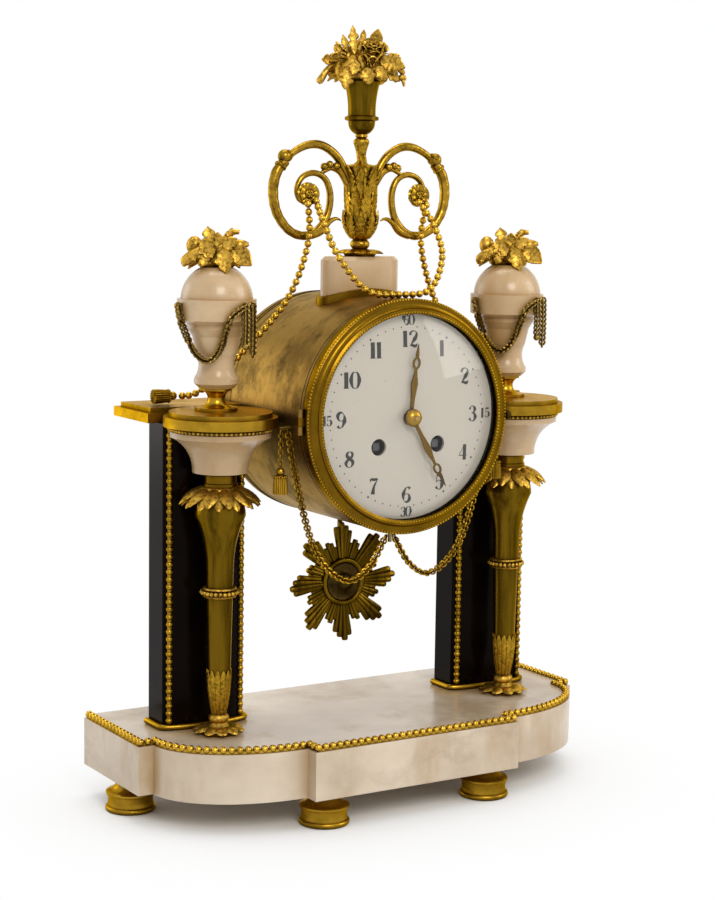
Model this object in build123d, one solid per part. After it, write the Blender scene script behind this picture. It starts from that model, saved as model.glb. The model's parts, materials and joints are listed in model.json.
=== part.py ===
"""Portico mantel clock: marble base and piers, gilt drum, striking eight-day movement."""
import os
from math import atan2, cos, degrees, hypot, pi, radians, sin, sqrt

from build123d import *

# Base and feet
SLAB_WIDTH = 295.5
SLAB_DEPTH = 128.0
SLAB_THICKNESS = 29.0
BREAKFRONT_WIDTH = 136.0
BREAKFRONT_NOTCH = 9.0
END_SECTION_DEPTH = 72.2
BEADING_WIDTH = 3.0
BEADING_RISE = 2.4
BEADING_REBATE = 1.6
FOOT_HEIGHT = 17.6
FOOT_RADIUS = 14.3
FOOT_NECK_RADIUS = 8.0
FRONT_FOOT_X = 54.0
END_FOOT_X = 137.0
END_FOOT_Y = 24.6

# Piers and the columns that stand before them
PILLAR_X = 97.5
PIER_WIDTH = 51.0
PIER_SHOULDER_Y = 13.4
PIER_FRONT_BULGE = 5.0
PIER_SIDE_DEPTH = 17.0
PIER_MOULDING_PROUD = 2.6
PIER_MOULDING_HEIGHT = 4.4
PIER_BEAD_RADIUS = 1.7
PIER_BEAD_ANGLE = 30.0
COLUMN_Y = -6.4
COLUMN_FOOT_RADIUS = 14.0
COLUMN_FOOT_HEIGHT = 11.2
COLUMN_TOP_RADIUS = 14.3
COLUMN_WAIST_RADIUS = 6.9
COLUMN_BULGE_HEIGHT = 123.0
COLUMN_RING_RADIUS = 11.3
COLUMN_RING_HEIGHT = 5.5
COLUMN_RING_Z = 80.1
COLLAR_RADIUS = 21.3
COLLAR_DROP = 12.5
COLLAR_LEAVES = 12
NECK_RADIUS = 9.8
NECK_HEIGHT = 8.3
CAPITAL_FOOT_RADIUS = 15.5
CAPITAL_TOP_RADIUS = 28.0
CAPITAL_HEIGHT = 22.7
CAPITAL_RING_HEIGHT = 2.8
TIE_ROD_RADIUS = 2.0

# Drum, with its axis in the middle of the plates on the pillars
DRUM_AXIS_Z = 223.5
DRUM_RADIUS = 65.5
DRUM_WALL = 1.5
DRUM_FRONT_Y = -42.0
DRUM_BACK_Y = 56.5
DRUM_LIP = 8.0
PLATE_LOWER_HEIGHT = 5.4
PLATE_STEP_HEIGHT = 2.6
PLATE_STEP_INSET = 3.0
PLATE_CLEARANCE = 0.05
PLATE_FRONT_RADIUS = 31.5
PLATE_SHOULDER_Y = 19.6

# Urns on the plates
URN_Y = -1.0
URN_FOOT_HEIGHT = 12.4
URN_FOOT_RADIUS = 11.8
URN_CUP_HEIGHT = 37.5
URN_BAND_RADIUS = 21.75
URN_BAND_HEIGHT = 11.4
URN_LID_RADIUS = 19.85
URN_LID_HEIGHT = 17.0
FRUIT_RADIUS = 19.0
FRUIT_HEIGHT = 21.0

# Plinth, vase and scrolls above the drum
FINIAL_Y = 9.0
PLINTH_HALF_WIDTH = 25.0
PLINTH_HALF_DEPTH = 12.0
PLINTH_RISE = 21.8
PLINTH_CHAMFER = 2.2
PLINTH_MOULDING = 2.5
PLINTH_MOULDING_HEIGHT = 4.0
VASE_BASE_RADIUS = 12.8
VASE_RADIUS = 9.5
VASE_HEIGHT = 69.0
CUP_RADIUS = 10.2
CUP_HEIGHT = 29.5
BOUQUET_RADIUS = 26.0
BOUQUET_HEIGHT = 32.5
SCROLL_Y = 8.5
SCROLL_WIRE = 2.5
SCROLL_OUTER_RADIUS = 22.5
ROSETTE_X = 37.0
ROSETTE_RISE = 35.0
ROSETTE_RADIUS = 5.8

# Front bezel, glass, dial and hands
BEZEL_PROUD = 0.5
BEZEL_WIDTH = 8.4
BEZEL_DEPTH = 8.0
BEZEL_BODY_WIDTH = 4.6
BEZEL_GAP = 0.15
GLASS_THICKNESS = 1.6
GLASS_RISE = 11.0
GLASS_SEAT = 1.8
DIAL_LAP = 2.6
DIAL_DOME = 2.6
DIAL_THICKNESS = 1.6
DIAL_PLATE_THICKNESS = 1.5
WINDING_HOLE_RADIUS = 4.7
WINDING_X = 19.5
WINDING_DROP = 16.0
HOUR_HAND_LENGTH = 41.0
MINUTE_HAND_LENGTH = 46.0
HOUR_HAND_ANGLE = 6.0
MINUTE_HAND_ANGLE = 150.0
HAND_THICKNESS = 0.8
HAND_NUT_RADIUS = 5.0
HINGE_RADIUS = 1.7
HINGE_PIN_RADIUS = 0.8
HINGE_KNUCKLE = 4.6
HINGE_GAP = 0.2

# Back door
DOOR_MARGIN = 6.5
DOOR_THICKNESS = 2.0
DOOR_HOLE_RADIUS = 3.0
DOOR_HOLE_MARGIN = 18.0
DOOR_HOLES = 12
DOOR_KNOB_RADIUS = 3.5

# Movement
FRAME_FRONT_Y = -33.5
MOVEMENT_PLATE = 2.2
MOVEMENT_GAP = 38.0
MOVEMENT_RADIUS = 48.0
FRAME_PILLAR_RADIUS = 3.0
ARBOR_RADIUS = 1.2
SLIM_ARBOR_RADIUS = 0.6
RUNNING_FIT = 0.06
GEAR_WIDTH = 1.6
PINION_EXTRA = 0.4
BARREL_RADIUS = 16.8
BARREL_HEIGHT = 20.0
WINDING_SQUARE = 4.4
MINUTE_WORK_DISTANCE = 12.0
ESCAPE_RADIUS = 9.5
ANCHOR_DISTANCE = 13.4
PENDULUM_Y = 26.8
PENDULUM_LENGTH = 148.5
PENDULUM_RISE = 43.7
ROD_RADIUS = 1.5
BOB_RADIUS = 35.5
BOB_BOSS_RADIUS = 13.0
BOB_THICKNESS = 1.6
RAY_PAIRS = 8
RAY_LENGTHS = (0.88, 1.0, 0.96, 0.84, 0.62, 0.70, 0.73, 0.66)
RAY_STEPS = (0.25, 0.0, 0.1, 0.3, 0.35, 0.25, 0.2, 0.35)
RAY_ROOT = 0.46
RAY_FILL = 0.97
SWING_DEG = 4.0
BELL_RADIUS = 30.0
BELL_DEPTH = 15.0
BELL_X = 9.0
BELL_DROP = 3.0
BELL_WALL = 1.4
COUNT_WHEEL_RADIUS = 15.0
CANNON_RADIUS = 1.9
HOUR_PIPE_RADIUS = 3.0
PIN_RING = 10.2
HANG_PIN = 0.9

# Teeth of each wheel, of the pinion it drives, and their module
BARREL_TEETH, BARREL_PINION, BARREL_MODULE = 70, 10, 0.6
SECOND_TEETH, CENTRE_PINION, SECOND_MODULE = 60, 10, 0.5
CENTRE_TEETH, THIRD_PINION, CENTRE_MODULE = 72, 6, 0.4
THIRD_TEETH, ESCAPE_PINION, THIRD_MODULE = 78, 6, 0.35
CANNON_TEETH, MINUTE_TEETH, CANNON_MODULE = 12, 36, MINUTE_WORK_DISTANCE / 24
MINUTE_PINION, HOUR_TEETH, HOUR_MODULE = 10, 40, MINUTE_WORK_DISTANCE / 25
STRIKE_TEETH, PIN_PINION, STRIKE_MODULE = 72, 8, 0.4
PIN_TEETH, WARNING_PINION, PIN_MODULE = 60, 6, 0.4
WARNING_TEETH, FLY_PINION, WARNING_MODULE = 54, 6, 0.35
ESCAPE_TEETH = 30

# Chains
LINK_RADIUS = 1.7
BALL_RADIUS = 1.85
CHAIN_APART = 2.6
HOOK_Y = -28.0

# Levels that follow from the sizes above
slab_top = FOOT_HEIGHT + SLAB_THICKNESS
slab_front = -SLAB_DEPTH / 2
slab_back = SLAB_DEPTH / 2
plate_top = DRUM_AXIS_Z + PLATE_LOWER_HEIGHT / 2 - 1.6
plate_bottom = plate_top - PLATE_LOWER_HEIGHT
step_top = plate_top + PLATE_STEP_HEIGHT
capital_top = plate_bottom - CAPITAL_RING_HEIGHT
capital_foot = capital_top - CAPITAL_HEIGHT
neck_foot = capital_foot - NECK_HEIGHT
drum_top = DRUM_AXIS_Z + DRUM_RADIUS
drum_low = DRUM_AXIS_Z - DRUM_RADIUS
bezel_radius = DRUM_RADIUS + BEZEL_PROUD
bezel_opening = bezel_radius - BEZEL_WIDTH
dial_radius = bezel_opening + DIAL_LAP
door_radius = DRUM_RADIUS - DOOR_MARGIN
door_hole_ring = door_radius - DOOR_HOLE_MARGIN
plinth_top = drum_top + PLINTH_RISE
cup_foot = plinth_top + VASE_HEIGHT
rosette_z = plinth_top + ROSETTE_RISE
frame_back = FRAME_FRONT_Y + MOVEMENT_PLATE
back_plate_front = frame_back + MOVEMENT_GAP
back_plate_back = back_plate_front + MOVEMENT_PLATE
pendulum_pivot_z = DRUM_AXIS_Z + PENDULUM_RISE
bob_z = pendulum_pivot_z - PENDULUM_LENGTH


def profile(items):
    """A closed outline: a point for a straight edge, (middle, end) for an arc."""
    edges = []
    here = items[0]
    for item in items[1:]:
        if isinstance(item[0], tuple):
            edges.append(ThreePointArc(here, item[0], item[1]))
            here = item[1]
        else:
            edges.append(Line(here, item))
            here = item
    if here != items[0]:
        edges.append(Line(here, items[0]))
    return make_face(edges)


def turned(items, x=0.0, y=0.0):
    """A solid turned about an upright axis, from (radius, height) points."""
    return Pos(x, y, 0) * revolve(Plane.XZ * profile(items), Axis.Z)


def spun(items, x=0.0, z=DRUM_AXIS_Z):
    """A solid turned about an axis that runs front to back, from (radius, y) points."""
    return Pos(x, 0, z) * revolve(profile(items), Axis.Y)


def rod_y(radius, y0, y1, x=0.0, z=0.0):
    """A round rod from y0 to y1, its place given from the drum's axis."""
    return Pos(x, (y0 + y1) / 2, DRUM_AXIS_Z + z) * Rot(90, 0, 0) * Cylinder(radius, y1 - y0)


def sheet_y(face, y0, y1, x=0.0, z=0.0):
    """A flat outline in x and z made a sheet from y0 to y1."""
    where = Plane(origin=(x, y1, DRUM_AXIS_Z + z), x_dir=(1, 0, 0), z_dir=(0, -1, 0))
    return extrude(where * face, amount=y1 - y0)


def upright(face, z0, z1):
    """A flat outline in x and y made a block from z0 to z1."""
    return extrude(Pos(0, 0, z0) * face, amount=z1 - z0)


def box(x0, x1, y0, y1, z0, z1):
    """A box by its limits."""
    return Pos((x0 + x1) / 2, (y0 + y1) / 2, (z0 + z1) / 2) * Box(x1 - x0, y1 - y0, z1 - z0)


def tube(points, radius, bend):
    """A round bar through points, its corners rounded to the bend radius."""
    path = FilletPolyline(*points, radius=bend)
    return sweep(Plane(origin=path @ 0, z_dir=path % 0) * Circle(radius), path=path)


def both(shape):
    """A piece and its mirror image on the other side."""
    return [shape, mirror(shape, Plane.YZ)]


def twice(shape):
    """A piece of the right urn and the same piece on the left urn."""
    return [shape, Pos(-2 * PILLAR_X, 0, 0) * shape]


def save(name, *solids):
    """One node, of one solid or of several like ones."""
    shape = solids[0] if len(solids) == 1 else Compound(children=list(solids))
    shape.label = name
    export_step(shape, f"parts/{name}.step")


# Base slab with its breakfront, rounded corners and end sections
def slab_plan(inset):
    """The slab's outline, moved in by inset on every side but the back."""
    end_front = slab_back - END_SECTION_DEPTH
    centre = Pos(0, inset / 2) * Rectangle(BREAKFRONT_WIDTH - 2 * inset, SLAB_DEPTH - inset)
    ends = Pos(0, (end_front + inset + slab_back) / 2) * Rectangle(
        SLAB_WIDTH - 2 * inset, END_SECTION_DEPTH - inset)
    across = (SLAB_WIDTH - BREAKFRONT_WIDTH) / 2 - BREAKFRONT_NOTCH
    deep = end_front - slab_front - BREAKFRONT_NOTCH
    plan = centre + ends
    for side in (-1, 1):
        plan += Pos(side * BREAKFRONT_WIDTH / 2, end_front) * Ellipse(across - inset, deep - inset)
    return plan


beading_foot = slab_top - BEADING_REBATE
beading_plan = slab_plan(0) - slab_plan(BEADING_WIDTH)
slab = upright(slab_plan(0), FOOT_HEIGHT, slab_top) - upright(beading_plan, beading_foot, slab_top)
beading = upright(beading_plan, beading_foot, slab_top + BEADING_RISE)

foot = turned([
    (0, 0), (FOOT_RADIUS - 5, 0), (FOOT_RADIUS - 1.2, 2.2), (FOOT_RADIUS - 0.6, 4.2),
    (FOOT_RADIUS - 2.2, 5.6), (FOOT_RADIUS - 2.2, 7.4), (FOOT_RADIUS, 9), (FOOT_RADIUS, 11.2),
    ((FOOT_NECK_RADIUS + 2.0, 13.6), (FOOT_NECK_RADIUS, FOOT_HEIGHT)), (0, FOOT_HEIGHT)])
foot_places = [
    (FRONT_FOOT_X, slab_front + FOOT_RADIUS), (END_FOOT_X, END_FOOT_Y),
    (FRONT_FOOT_X, slab_back - FOOT_RADIUS)]
feet = [Pos(side * x, y, 0) * foot for x, y in foot_places for side in (-1, 1)]


# Piers: flat sides and a gently rounded front
def pier_plan(grow):
    """The pier's outline, grown on the sides and the front."""
    half = PIER_WIDTH / 2 + grow
    flat = Pos(PILLAR_X, PIER_SHOULDER_Y + PIER_SIDE_DEPTH / 2) * Rectangle(2 * half, PIER_SIDE_DEPTH)
    return flat + Pos(PILLAR_X, PIER_SHOULDER_Y) * Ellipse(half, PIER_FRONT_BULGE + grow)


pier = upright(pier_plan(0), slab_top, plate_bottom)
pier_moulding = upright(
    pier_plan(PIER_MOULDING_PROUD) - pier_plan(RUNNING_FIT), slab_top, slab_top + PIER_MOULDING_HEIGHT)
pier_room = upright(pier_plan(RUNNING_FIT), slab_top, plate_bottom)
pier_beads = []
for side in (-1, 1):
    turn = radians(PIER_BEAD_ANGLE)
    bead_x = PILLAR_X + side * (PIER_WIDTH / 2 + 0.5) * cos(turn)
    bead_y = PIER_SHOULDER_Y - (PIER_FRONT_BULGE + 0.5) * sin(turn)
    bead_low = slab_top + PIER_MOULDING_HEIGHT
    place = Pos(bead_x, bead_y, (bead_low + plate_bottom) / 2)
    bead_room = place * Cylinder(PIER_BEAD_RADIUS + RUNNING_FIT, plate_bottom - bead_low)
    pier_beads.append(place * Cylinder(PIER_BEAD_RADIUS, plate_bottom - bead_low))
    pier = pier - bead_room
    pier_room += bead_room
pier_tie_y = PIER_SHOULDER_Y + PIER_SIDE_DEPTH / 2
pier = pier - Pos(PILLAR_X, pier_tie_y, 0) * upright(Circle(TIE_ROD_RADIUS + RUNNING_FIT), slab_top,
    plate_bottom)

# Columns: foot, quiver shaft, ring, leaf collar and neck, threaded on a tie rod
column_bore = Pos(PILLAR_X, COLUMN_Y, 0) * upright(
    Circle(TIE_ROD_RADIUS + RUNNING_FIT), FOOT_HEIGHT, step_top)
column_z = slab_top + COLUMN_FOOT_HEIGHT
column_foot = turned([
    (0, slab_top), (COLUMN_FOOT_RADIUS, slab_top), (COLUMN_FOOT_RADIUS, slab_top + 2.2),
    ((7.2, slab_top + 4.4), (4.2, slab_top + 7.2)), ((5.6, slab_top + 9.0), (4.2, column_z)),
    (0, column_z)], PILLAR_X, COLUMN_Y)
bulge_z = slab_top + COLUMN_BULGE_HEIGHT
waist_z = bulge_z - 30
ring_z = slab_top + COLUMN_RING_Z
ring_low = ring_z - COLUMN_RING_HEIGHT / 2
ring_high = ring_z + COLUMN_RING_HEIGHT / 2
column_shaft = turned([
    (0, column_z), (4.2, column_z),
    ((COLUMN_WAIST_RADIUS + 0.2, column_z + 9), (COLUMN_WAIST_RADIUS, column_z + 25)),
    (COLUMN_WAIST_RADIUS + 0.8, waist_z),
    ((COLUMN_WAIST_RADIUS + 3.1, bulge_z - 12), (COLUMN_TOP_RADIUS, bulge_z)),
    ((COLUMN_TOP_RADIUS - 0.6, bulge_z + 5), (NECK_RADIUS, neck_foot)), (0, neck_foot)],
    PILLAR_X, COLUMN_Y)
ring_seat = COLUMN_WAIST_RADIUS + 1.2
column_ring = turned([
    (ring_seat, ring_low), (COLUMN_RING_RADIUS - 1.5, ring_low),
    ((COLUMN_RING_RADIUS, ring_z), (COLUMN_RING_RADIUS - 1.5, ring_high)), (ring_seat, ring_high)],
    PILLAR_X, COLUMN_Y) - column_shaft
collar_z = neck_foot
leaf_low = collar_z - COLLAR_DROP
collar_blank = turned([
    (NECK_RADIUS + 0.4, collar_z), (NECK_RADIUS + 2.4, collar_z),
    ((COLLAR_RADIUS - 2.6, collar_z - 3), (COLLAR_RADIUS, leaf_low)),
    (COLLAR_RADIUS - 1.4, leaf_low), ((COLLAR_RADIUS - 4.4, collar_z - 4),
        (NECK_RADIUS + 0.4, collar_z - 1.6))],
    PILLAR_X, COLUMN_Y)
leaf_step = 360 / COLLAR_LEAVES
leaf_gap = Pos(COLLAR_RADIUS, 0, leaf_low) * Rot(0, 90, 0) * extrude(
    make_face(Polyline((2, -4.2), (2, 4.2), (-6.5, 0), close=True)), amount=9, both=True)
for leaf in range(COLLAR_LEAVES):
    collar_blank = collar_blank - Pos(PILLAR_X, COLUMN_Y, 0) * Rot(0, 0, leaf * leaf_step) * leaf_gap
column_collar = collar_blank - column_shaft
column_neck = turned([
    (0, neck_foot), (NECK_RADIUS, neck_foot), ((NECK_RADIUS + 1.2, neck_foot + 1.4),
        (NECK_RADIUS, neck_foot + 2.8)),
    (NECK_RADIUS - 0.8, capital_foot), (0, capital_foot)], PILLAR_X, COLUMN_Y)
capital = turned([
    (0, capital_foot), (CAPITAL_FOOT_RADIUS, capital_foot),
    ((CAPITAL_FOOT_RADIUS + 3.6, capital_foot + 12.5), (CAPITAL_TOP_RADIUS, capital_top - 3)),
    (CAPITAL_TOP_RADIUS, capital_top), (0, capital_top)], PILLAR_X, COLUMN_Y)
capital_ring = turned([
    (TIE_ROD_RADIUS + 2, capital_top), (CAPITAL_TOP_RADIUS - 0.4, capital_top),
    ((CAPITAL_TOP_RADIUS + 0.8, capital_top + CAPITAL_RING_HEIGHT / 2),
     (CAPITAL_TOP_RADIUS - 0.4, plate_bottom)), (TIE_ROD_RADIUS + 2, plate_bottom)], PILLAR_X, COLUMN_Y)
column_foot, column_shaft, column_neck, capital = (
    piece - column_bore for piece in (column_foot, column_shaft, column_neck, capital))
column_foot = column_foot - upright(
    pier_plan(PIER_MOULDING_PROUD + RUNNING_FIT), slab_top, slab_top + PIER_MOULDING_HEIGHT + RUNNING_FIT)
column_collar, capital, capital_ring = (piece - pier_room for piece in (column_collar, capital,
    capital_ring))


# Plates that tie each pier to its column and carry the drum between them
def plate_plan(inset):
    """The plate's outline: a round front about the column and a square back over the pier."""
    half = PLATE_FRONT_RADIUS - inset
    front = PLATE_SHOULDER_Y + inset
    back = slab_back - inset
    square = Pos(PILLAR_X, (front + back) / 2) * Rectangle(2 * half, back - front)
    return square + Pos(PILLAR_X, COLUMN_Y) * Circle(half)


drum_room = rod_y(DRUM_RADIUS + PLATE_CLEARANCE, DRUM_FRONT_Y, slab_back)
plate = upright(plate_plan(0), plate_bottom, plate_top)
plate += upright(plate_plan(PLATE_STEP_INSET), plate_top, step_top)
plate = plate - drum_room - column_bore
plate = plate - Pos(PILLAR_X, pier_tie_y, 0) * upright(Circle(TIE_ROD_RADIUS + RUNNING_FIT),
    plate_bottom, step_top)

# Tie rods with a nut under the slab, screwed into the plate
tie_rods = []
for tie_y in (COLUMN_Y, pier_tie_y):
    tie = Pos(PILLAR_X, tie_y, 0) * upright(Circle(TIE_ROD_RADIUS), FOOT_HEIGHT - 5, step_top - 0.4)
    tie += Pos(PILLAR_X, tie_y, 0) * upright(RegularPolygon(4.2, 6), FOOT_HEIGHT - 3.2, FOOT_HEIGHT)
    tie_rods.append(tie)
    for side in (-1, 1):
        slab = slab - Pos(side * PILLAR_X, tie_y, 0) * upright(
            Circle(TIE_ROD_RADIUS + RUNNING_FIT), FOOT_HEIGHT, slab_top)

# Urns: gilt foot, marble cup with its band, marble lid, gilt fruit
urn_z = step_top + URN_FOOT_HEIGHT
band_z = urn_z + URN_CUP_HEIGHT
lid_z = band_z + URN_BAND_HEIGHT
fruit_z = lid_z + URN_LID_HEIGHT
urn_foot = turned([
    (0, step_top), (URN_FOOT_RADIUS, step_top), (URN_FOOT_RADIUS, step_top + 1.8),
    ((5.6, step_top + 4), (4.75, step_top + 7)), ((5.6, urn_z - 3), (8.5, urn_z - 1.2)), (8.5, urn_z),
    (0, urn_z)], PILLAR_X, URN_Y)
urn_shape = [
    (0, urn_z), (9.5, urn_z), (12.3, urn_z + 2.6), (12.3, urn_z + 5.2),
    ((9.9, urn_z + 12), (11.4, urn_z + 19)), (13.5, urn_z + 28.5), (16.5, band_z - 4.6),
    (16.5, band_z - 2.4), (URN_BAND_RADIUS, band_z), (URN_BAND_RADIUS, lid_z), (URN_LID_RADIUS, lid_z),
    ((URN_LID_RADIUS - 3.4, lid_z + 10.4), (9.0, fruit_z)), (0, fruit_z)]
urn = turned(urn_shape, PILLAR_X, URN_Y)
fruit = turned([
    (0, fruit_z), (FRUIT_RADIUS - 4, fruit_z), (FRUIT_RADIUS, fruit_z + 2.4),
    ((FRUIT_RADIUS - 5, fruit_z + 7), (9.5, fruit_z + 9)), (0, fruit_z + 9)], PILLAR_X, URN_Y)
for berry in range(5):
    turn = radians(72 * berry + 18)
    fruit += Pos(PILLAR_X + 8.6 * cos(turn), URN_Y + 8.6 * sin(turn), fruit_z + 9) * Sphere(6.2)
fruit += turned([
    (0, fruit_z + 8), (6.4, fruit_z + 8), ((6.2, fruit_z + 14), (0.8, fruit_z + FRUIT_HEIGHT)),
    (0, fruit_z + FRUIT_HEIGHT)], PILLAR_X, URN_Y)
hook_turns = (-88, 20, 146)
hook_r = URN_BAND_RADIUS + 2.2
hook_z = lid_z - 3
urn_chain = []
for start, end in zip(hook_turns, (20, 146, 272)):
    points = []
    for part, r, drop in ((0, hook_r, 1), (0.04, hook_r, 14), (0.28, hook_r - 1, 27), (0.5, hook_r - 2, 31),
                          (0.72, hook_r - 1, 27), (0.96, hook_r, 14), (1, hook_r, 1)):
        turn = radians(start + (end - start) * part)
        points.append((PILLAR_X + r * sin(turn), URN_Y - r * cos(turn), hook_z - drop))
    urn_chain.append((points, start))
urn_hooks = [
    Pos(PILLAR_X, URN_Y, hook_z) * Rot(0, 0, turn - 90) * Pos(URN_BAND_RADIUS + 2, 0, 0) * Rot(0, 90, 0)
    * Cylinder(0.9, 4) for turn in hook_turns]

# Plinth that sits astride the drum, and its moulding
def plinth_plan(grow):
    """The plinth's oval outline."""
    return Pos(0, FINIAL_Y) * Ellipse(PLINTH_HALF_WIDTH + grow, PLINTH_HALF_DEPTH + grow)


drum_solid = rod_y(DRUM_RADIUS, DRUM_FRONT_Y, DRUM_BACK_Y)
drum_grown = rod_y(DRUM_RADIUS + PLINTH_MOULDING_HEIGHT, DRUM_FRONT_Y, DRUM_BACK_Y)
plinth_foot = DRUM_AXIS_Z + sqrt(DRUM_RADIUS ** 2 - (PLINTH_HALF_WIDTH + PLINTH_MOULDING) ** 2) - 2
plinth = upright(plinth_plan(0), plinth_foot, plinth_top)
plinth = chamfer(plinth.faces().sort_by(Axis.Z)[-1].edges(), PLINTH_CHAMFER) - drum_solid
plinth_moulding = upright(plinth_plan(PLINTH_MOULDING) - plinth_plan(RUNNING_FIT), plinth_foot, plinth_top)
plinth_moulding = (plinth_moulding & drum_grown) - drum_solid

# Vase, cup and bouquet, turned and threaded one on another
v = plinth_top
vase = turned([
    (0, v), (VASE_BASE_RADIUS, v), (VASE_BASE_RADIUS, v + 2.6), ((7.6, v + 4.4), (5.4, v + 6)),
    (5.4, v + 9.2),
    (4.5, v + 10), ((VASE_RADIUS + 0.3, v + 30), (VASE_RADIUS, v + 51)), (4.2, v + 53), (3.2, v + 57),
    ((6.4, v + 62.5), (3.0, cup_foot)), (0, cup_foot)], 0, FINIAL_Y)
c = cup_foot
cup_rim = c + CUP_HEIGHT
cup = turned([
    (0, c), (3.0, c), ((6.4, c + 2.6), (7.6, c + 7.4)), (CUP_RADIUS - 0.5, c + 8.2),
    (CUP_RADIUS - 0.5, c + 9.8),
    (7.9, c + 10.6), ((8.3, c + 20), (CUP_RADIUS, cup_rim)), (0, cup_rim)], 0, FINIAL_Y)
bouquet = Pos(0, FINIAL_Y, cup_rim + 12) * Sphere(14)
for bloom in range(7):
    turn = radians(360 / 7 * bloom + 10)
    reach = BOUQUET_RADIUS - 9.5
    bouquet += Pos(reach * cos(turn), FINIAL_Y + reach * sin(turn),
        cup_rim + 6.5 + 3 * (bloom % 2)) * Sphere(9.5)
bouquet += turned([
    (0, cup_rim), (8, cup_rim + 16), (6.6, cup_rim + 24),
    ((4.6, cup_rim + 29), (0.6, cup_rim + BOUQUET_HEIGHT)),
    (0, cup_rim + BOUQUET_HEIGHT)], 0, FINIAL_Y)
bouquet = bouquet - turned([
    (0, cup_rim - 20), (60, cup_rim - 20), (60, cup_rim - 4), (CUP_RADIUS + 0.8, cup_rim - 4),
    (CUP_RADIUS + 0.8, cup_rim), (0, cup_rim)], 0, FINIAL_Y)

# Scrolls: an arm from the vase to a knot, then a spiral in to the rosette
spiral_z = rosette_z - 1.0
knot_x = ROSETTE_X - 1 + SCROLL_OUTER_RADIUS * cos(radians(60))
knot_z = spiral_z + SCROLL_OUTER_RADIUS * sin(radians(60))
arm = ThreePointArc((VASE_RADIUS - 1, plinth_top + 46), (ROSETTE_X - 4, rosette_z + 27.5), (knot_x, knot_z))
spiral = JernArc(start=(knot_x, knot_z), tangent=(sin(radians(60)), -cos(radians(60))),
                 radius=SCROLL_OUTER_RADIUS, arc_size=-150)
for radius, turn in ((16.2, -90), (18.6, -60), (14.0, -30), (10.4, -90), (6.0, -90)):
    spiral += JernArc(start=spiral @ 1, tangent=spiral % 1, radius=radius, arc_size=turn)


def scroll_bar(wire, radius):
    """A round bar along a wire drawn in x and z."""
    path = Plane(origin=(0, SCROLL_Y, 0), x_dir=(1, 0, 0), z_dir=(0, -1, 0)) * wire
    return sweep(Plane(origin=path @ 0, z_dir=path % 0) * Circle(radius), path=path)


scroll = scroll_bar(arm, SCROLL_WIRE) + scroll_bar(spiral, SCROLL_WIRE)
scroll += Pos(knot_x, SCROLL_Y, knot_z) * Rot(90, 0, 0) * Cylinder(SCROLL_WIRE + 1.6, 7)
rosette_place = Pos(ROSETTE_X, SCROLL_Y - 3.2, rosette_z) * Rot(90, 0, 0)
scroll += rosette_place * Cylinder(ROSETTE_RADIUS, 4.2)
scroll = scroll - vase


# Drum: a tube with a lip for the dial plate, a back flange and a slot for the pendulum
drum_inside = DRUM_RADIUS - DRUM_WALL
lip_front = DRUM_FRONT_Y + DIAL_PLATE_THICKNESS + 0.2
lip_back = lip_front + 2.0
flange_front = DRUM_BACK_Y - DRUM_WALL
door_opening = door_radius - 3
drum = spun([
    (drum_inside, DRUM_FRONT_Y), (DRUM_RADIUS, DRUM_FRONT_Y), (DRUM_RADIUS, DRUM_BACK_Y),
    (door_opening, DRUM_BACK_Y), (door_opening, flange_front), (drum_inside, flange_front),
    (drum_inside, lip_back), (drum_inside - DRUM_LIP, lip_back), (drum_inside - DRUM_LIP, lip_front),
    (drum_inside, lip_front)])
slot_half = (DRUM_AXIS_Z - DRUM_RADIUS - pendulum_pivot_z) * sin(radians(-SWING_DEG)) + ROD_RADIUS + 1.8
slot_deep = ROD_RADIUS + 2.5
drum = drum - box(-slot_half, slot_half, PENDULUM_Y - slot_deep, PENDULUM_Y + slot_deep, drum_low - 5,
    drum_low + 12)
drum_hooks = [
    Pos(0, HOOK_Y, DRUM_AXIS_Z) * Rot(0, turn, 0) * Pos(DRUM_RADIUS + 3.8, 0, 0) * Rot(0, 90,
        0) * Cylinder(1.1, 7.6)
    for turn in (4, 90, 176)]


# Hinges: one knuckle on the moving leaf between two on the drum
def hinge(x, y, leaf_y, ear_y):
    """Knuckles for the moving leaf and for the drum, and the pin, on an upright axis."""
    half = HINGE_KNUCKLE / 2
    inner = x + HINGE_RADIUS + 1.6
    bore = Pos(x, y, DRUM_AXIS_Z) * Cylinder(HINGE_PIN_RADIUS + RUNNING_FIT, 6 * HINGE_KNUCKLE)
    leaf = Pos(x, y, DRUM_AXIS_Z) * Cylinder(HINGE_RADIUS, HINGE_KNUCKLE)
    leaf += box(x, inner, *leaf_y, DRUM_AXIS_Z - half, DRUM_AXIS_Z + half)
    ears = []
    for side in (-1, 1):
        mid = DRUM_AXIS_Z + side * (HINGE_KNUCKLE + HINGE_GAP)
        ear = Pos(x, y, mid) * Cylinder(HINGE_RADIUS, HINGE_KNUCKLE)
        ear += box(x, inner, *ear_y, mid - half, mid + half)
        ears.append(ear - bore)
    pin = Pos(x, y, DRUM_AXIS_Z) * Cylinder(HINGE_PIN_RADIUS, 3 * HINGE_KNUCKLE + 2 * HINGE_GAP)
    return leaf - bore, ears, pin


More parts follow.
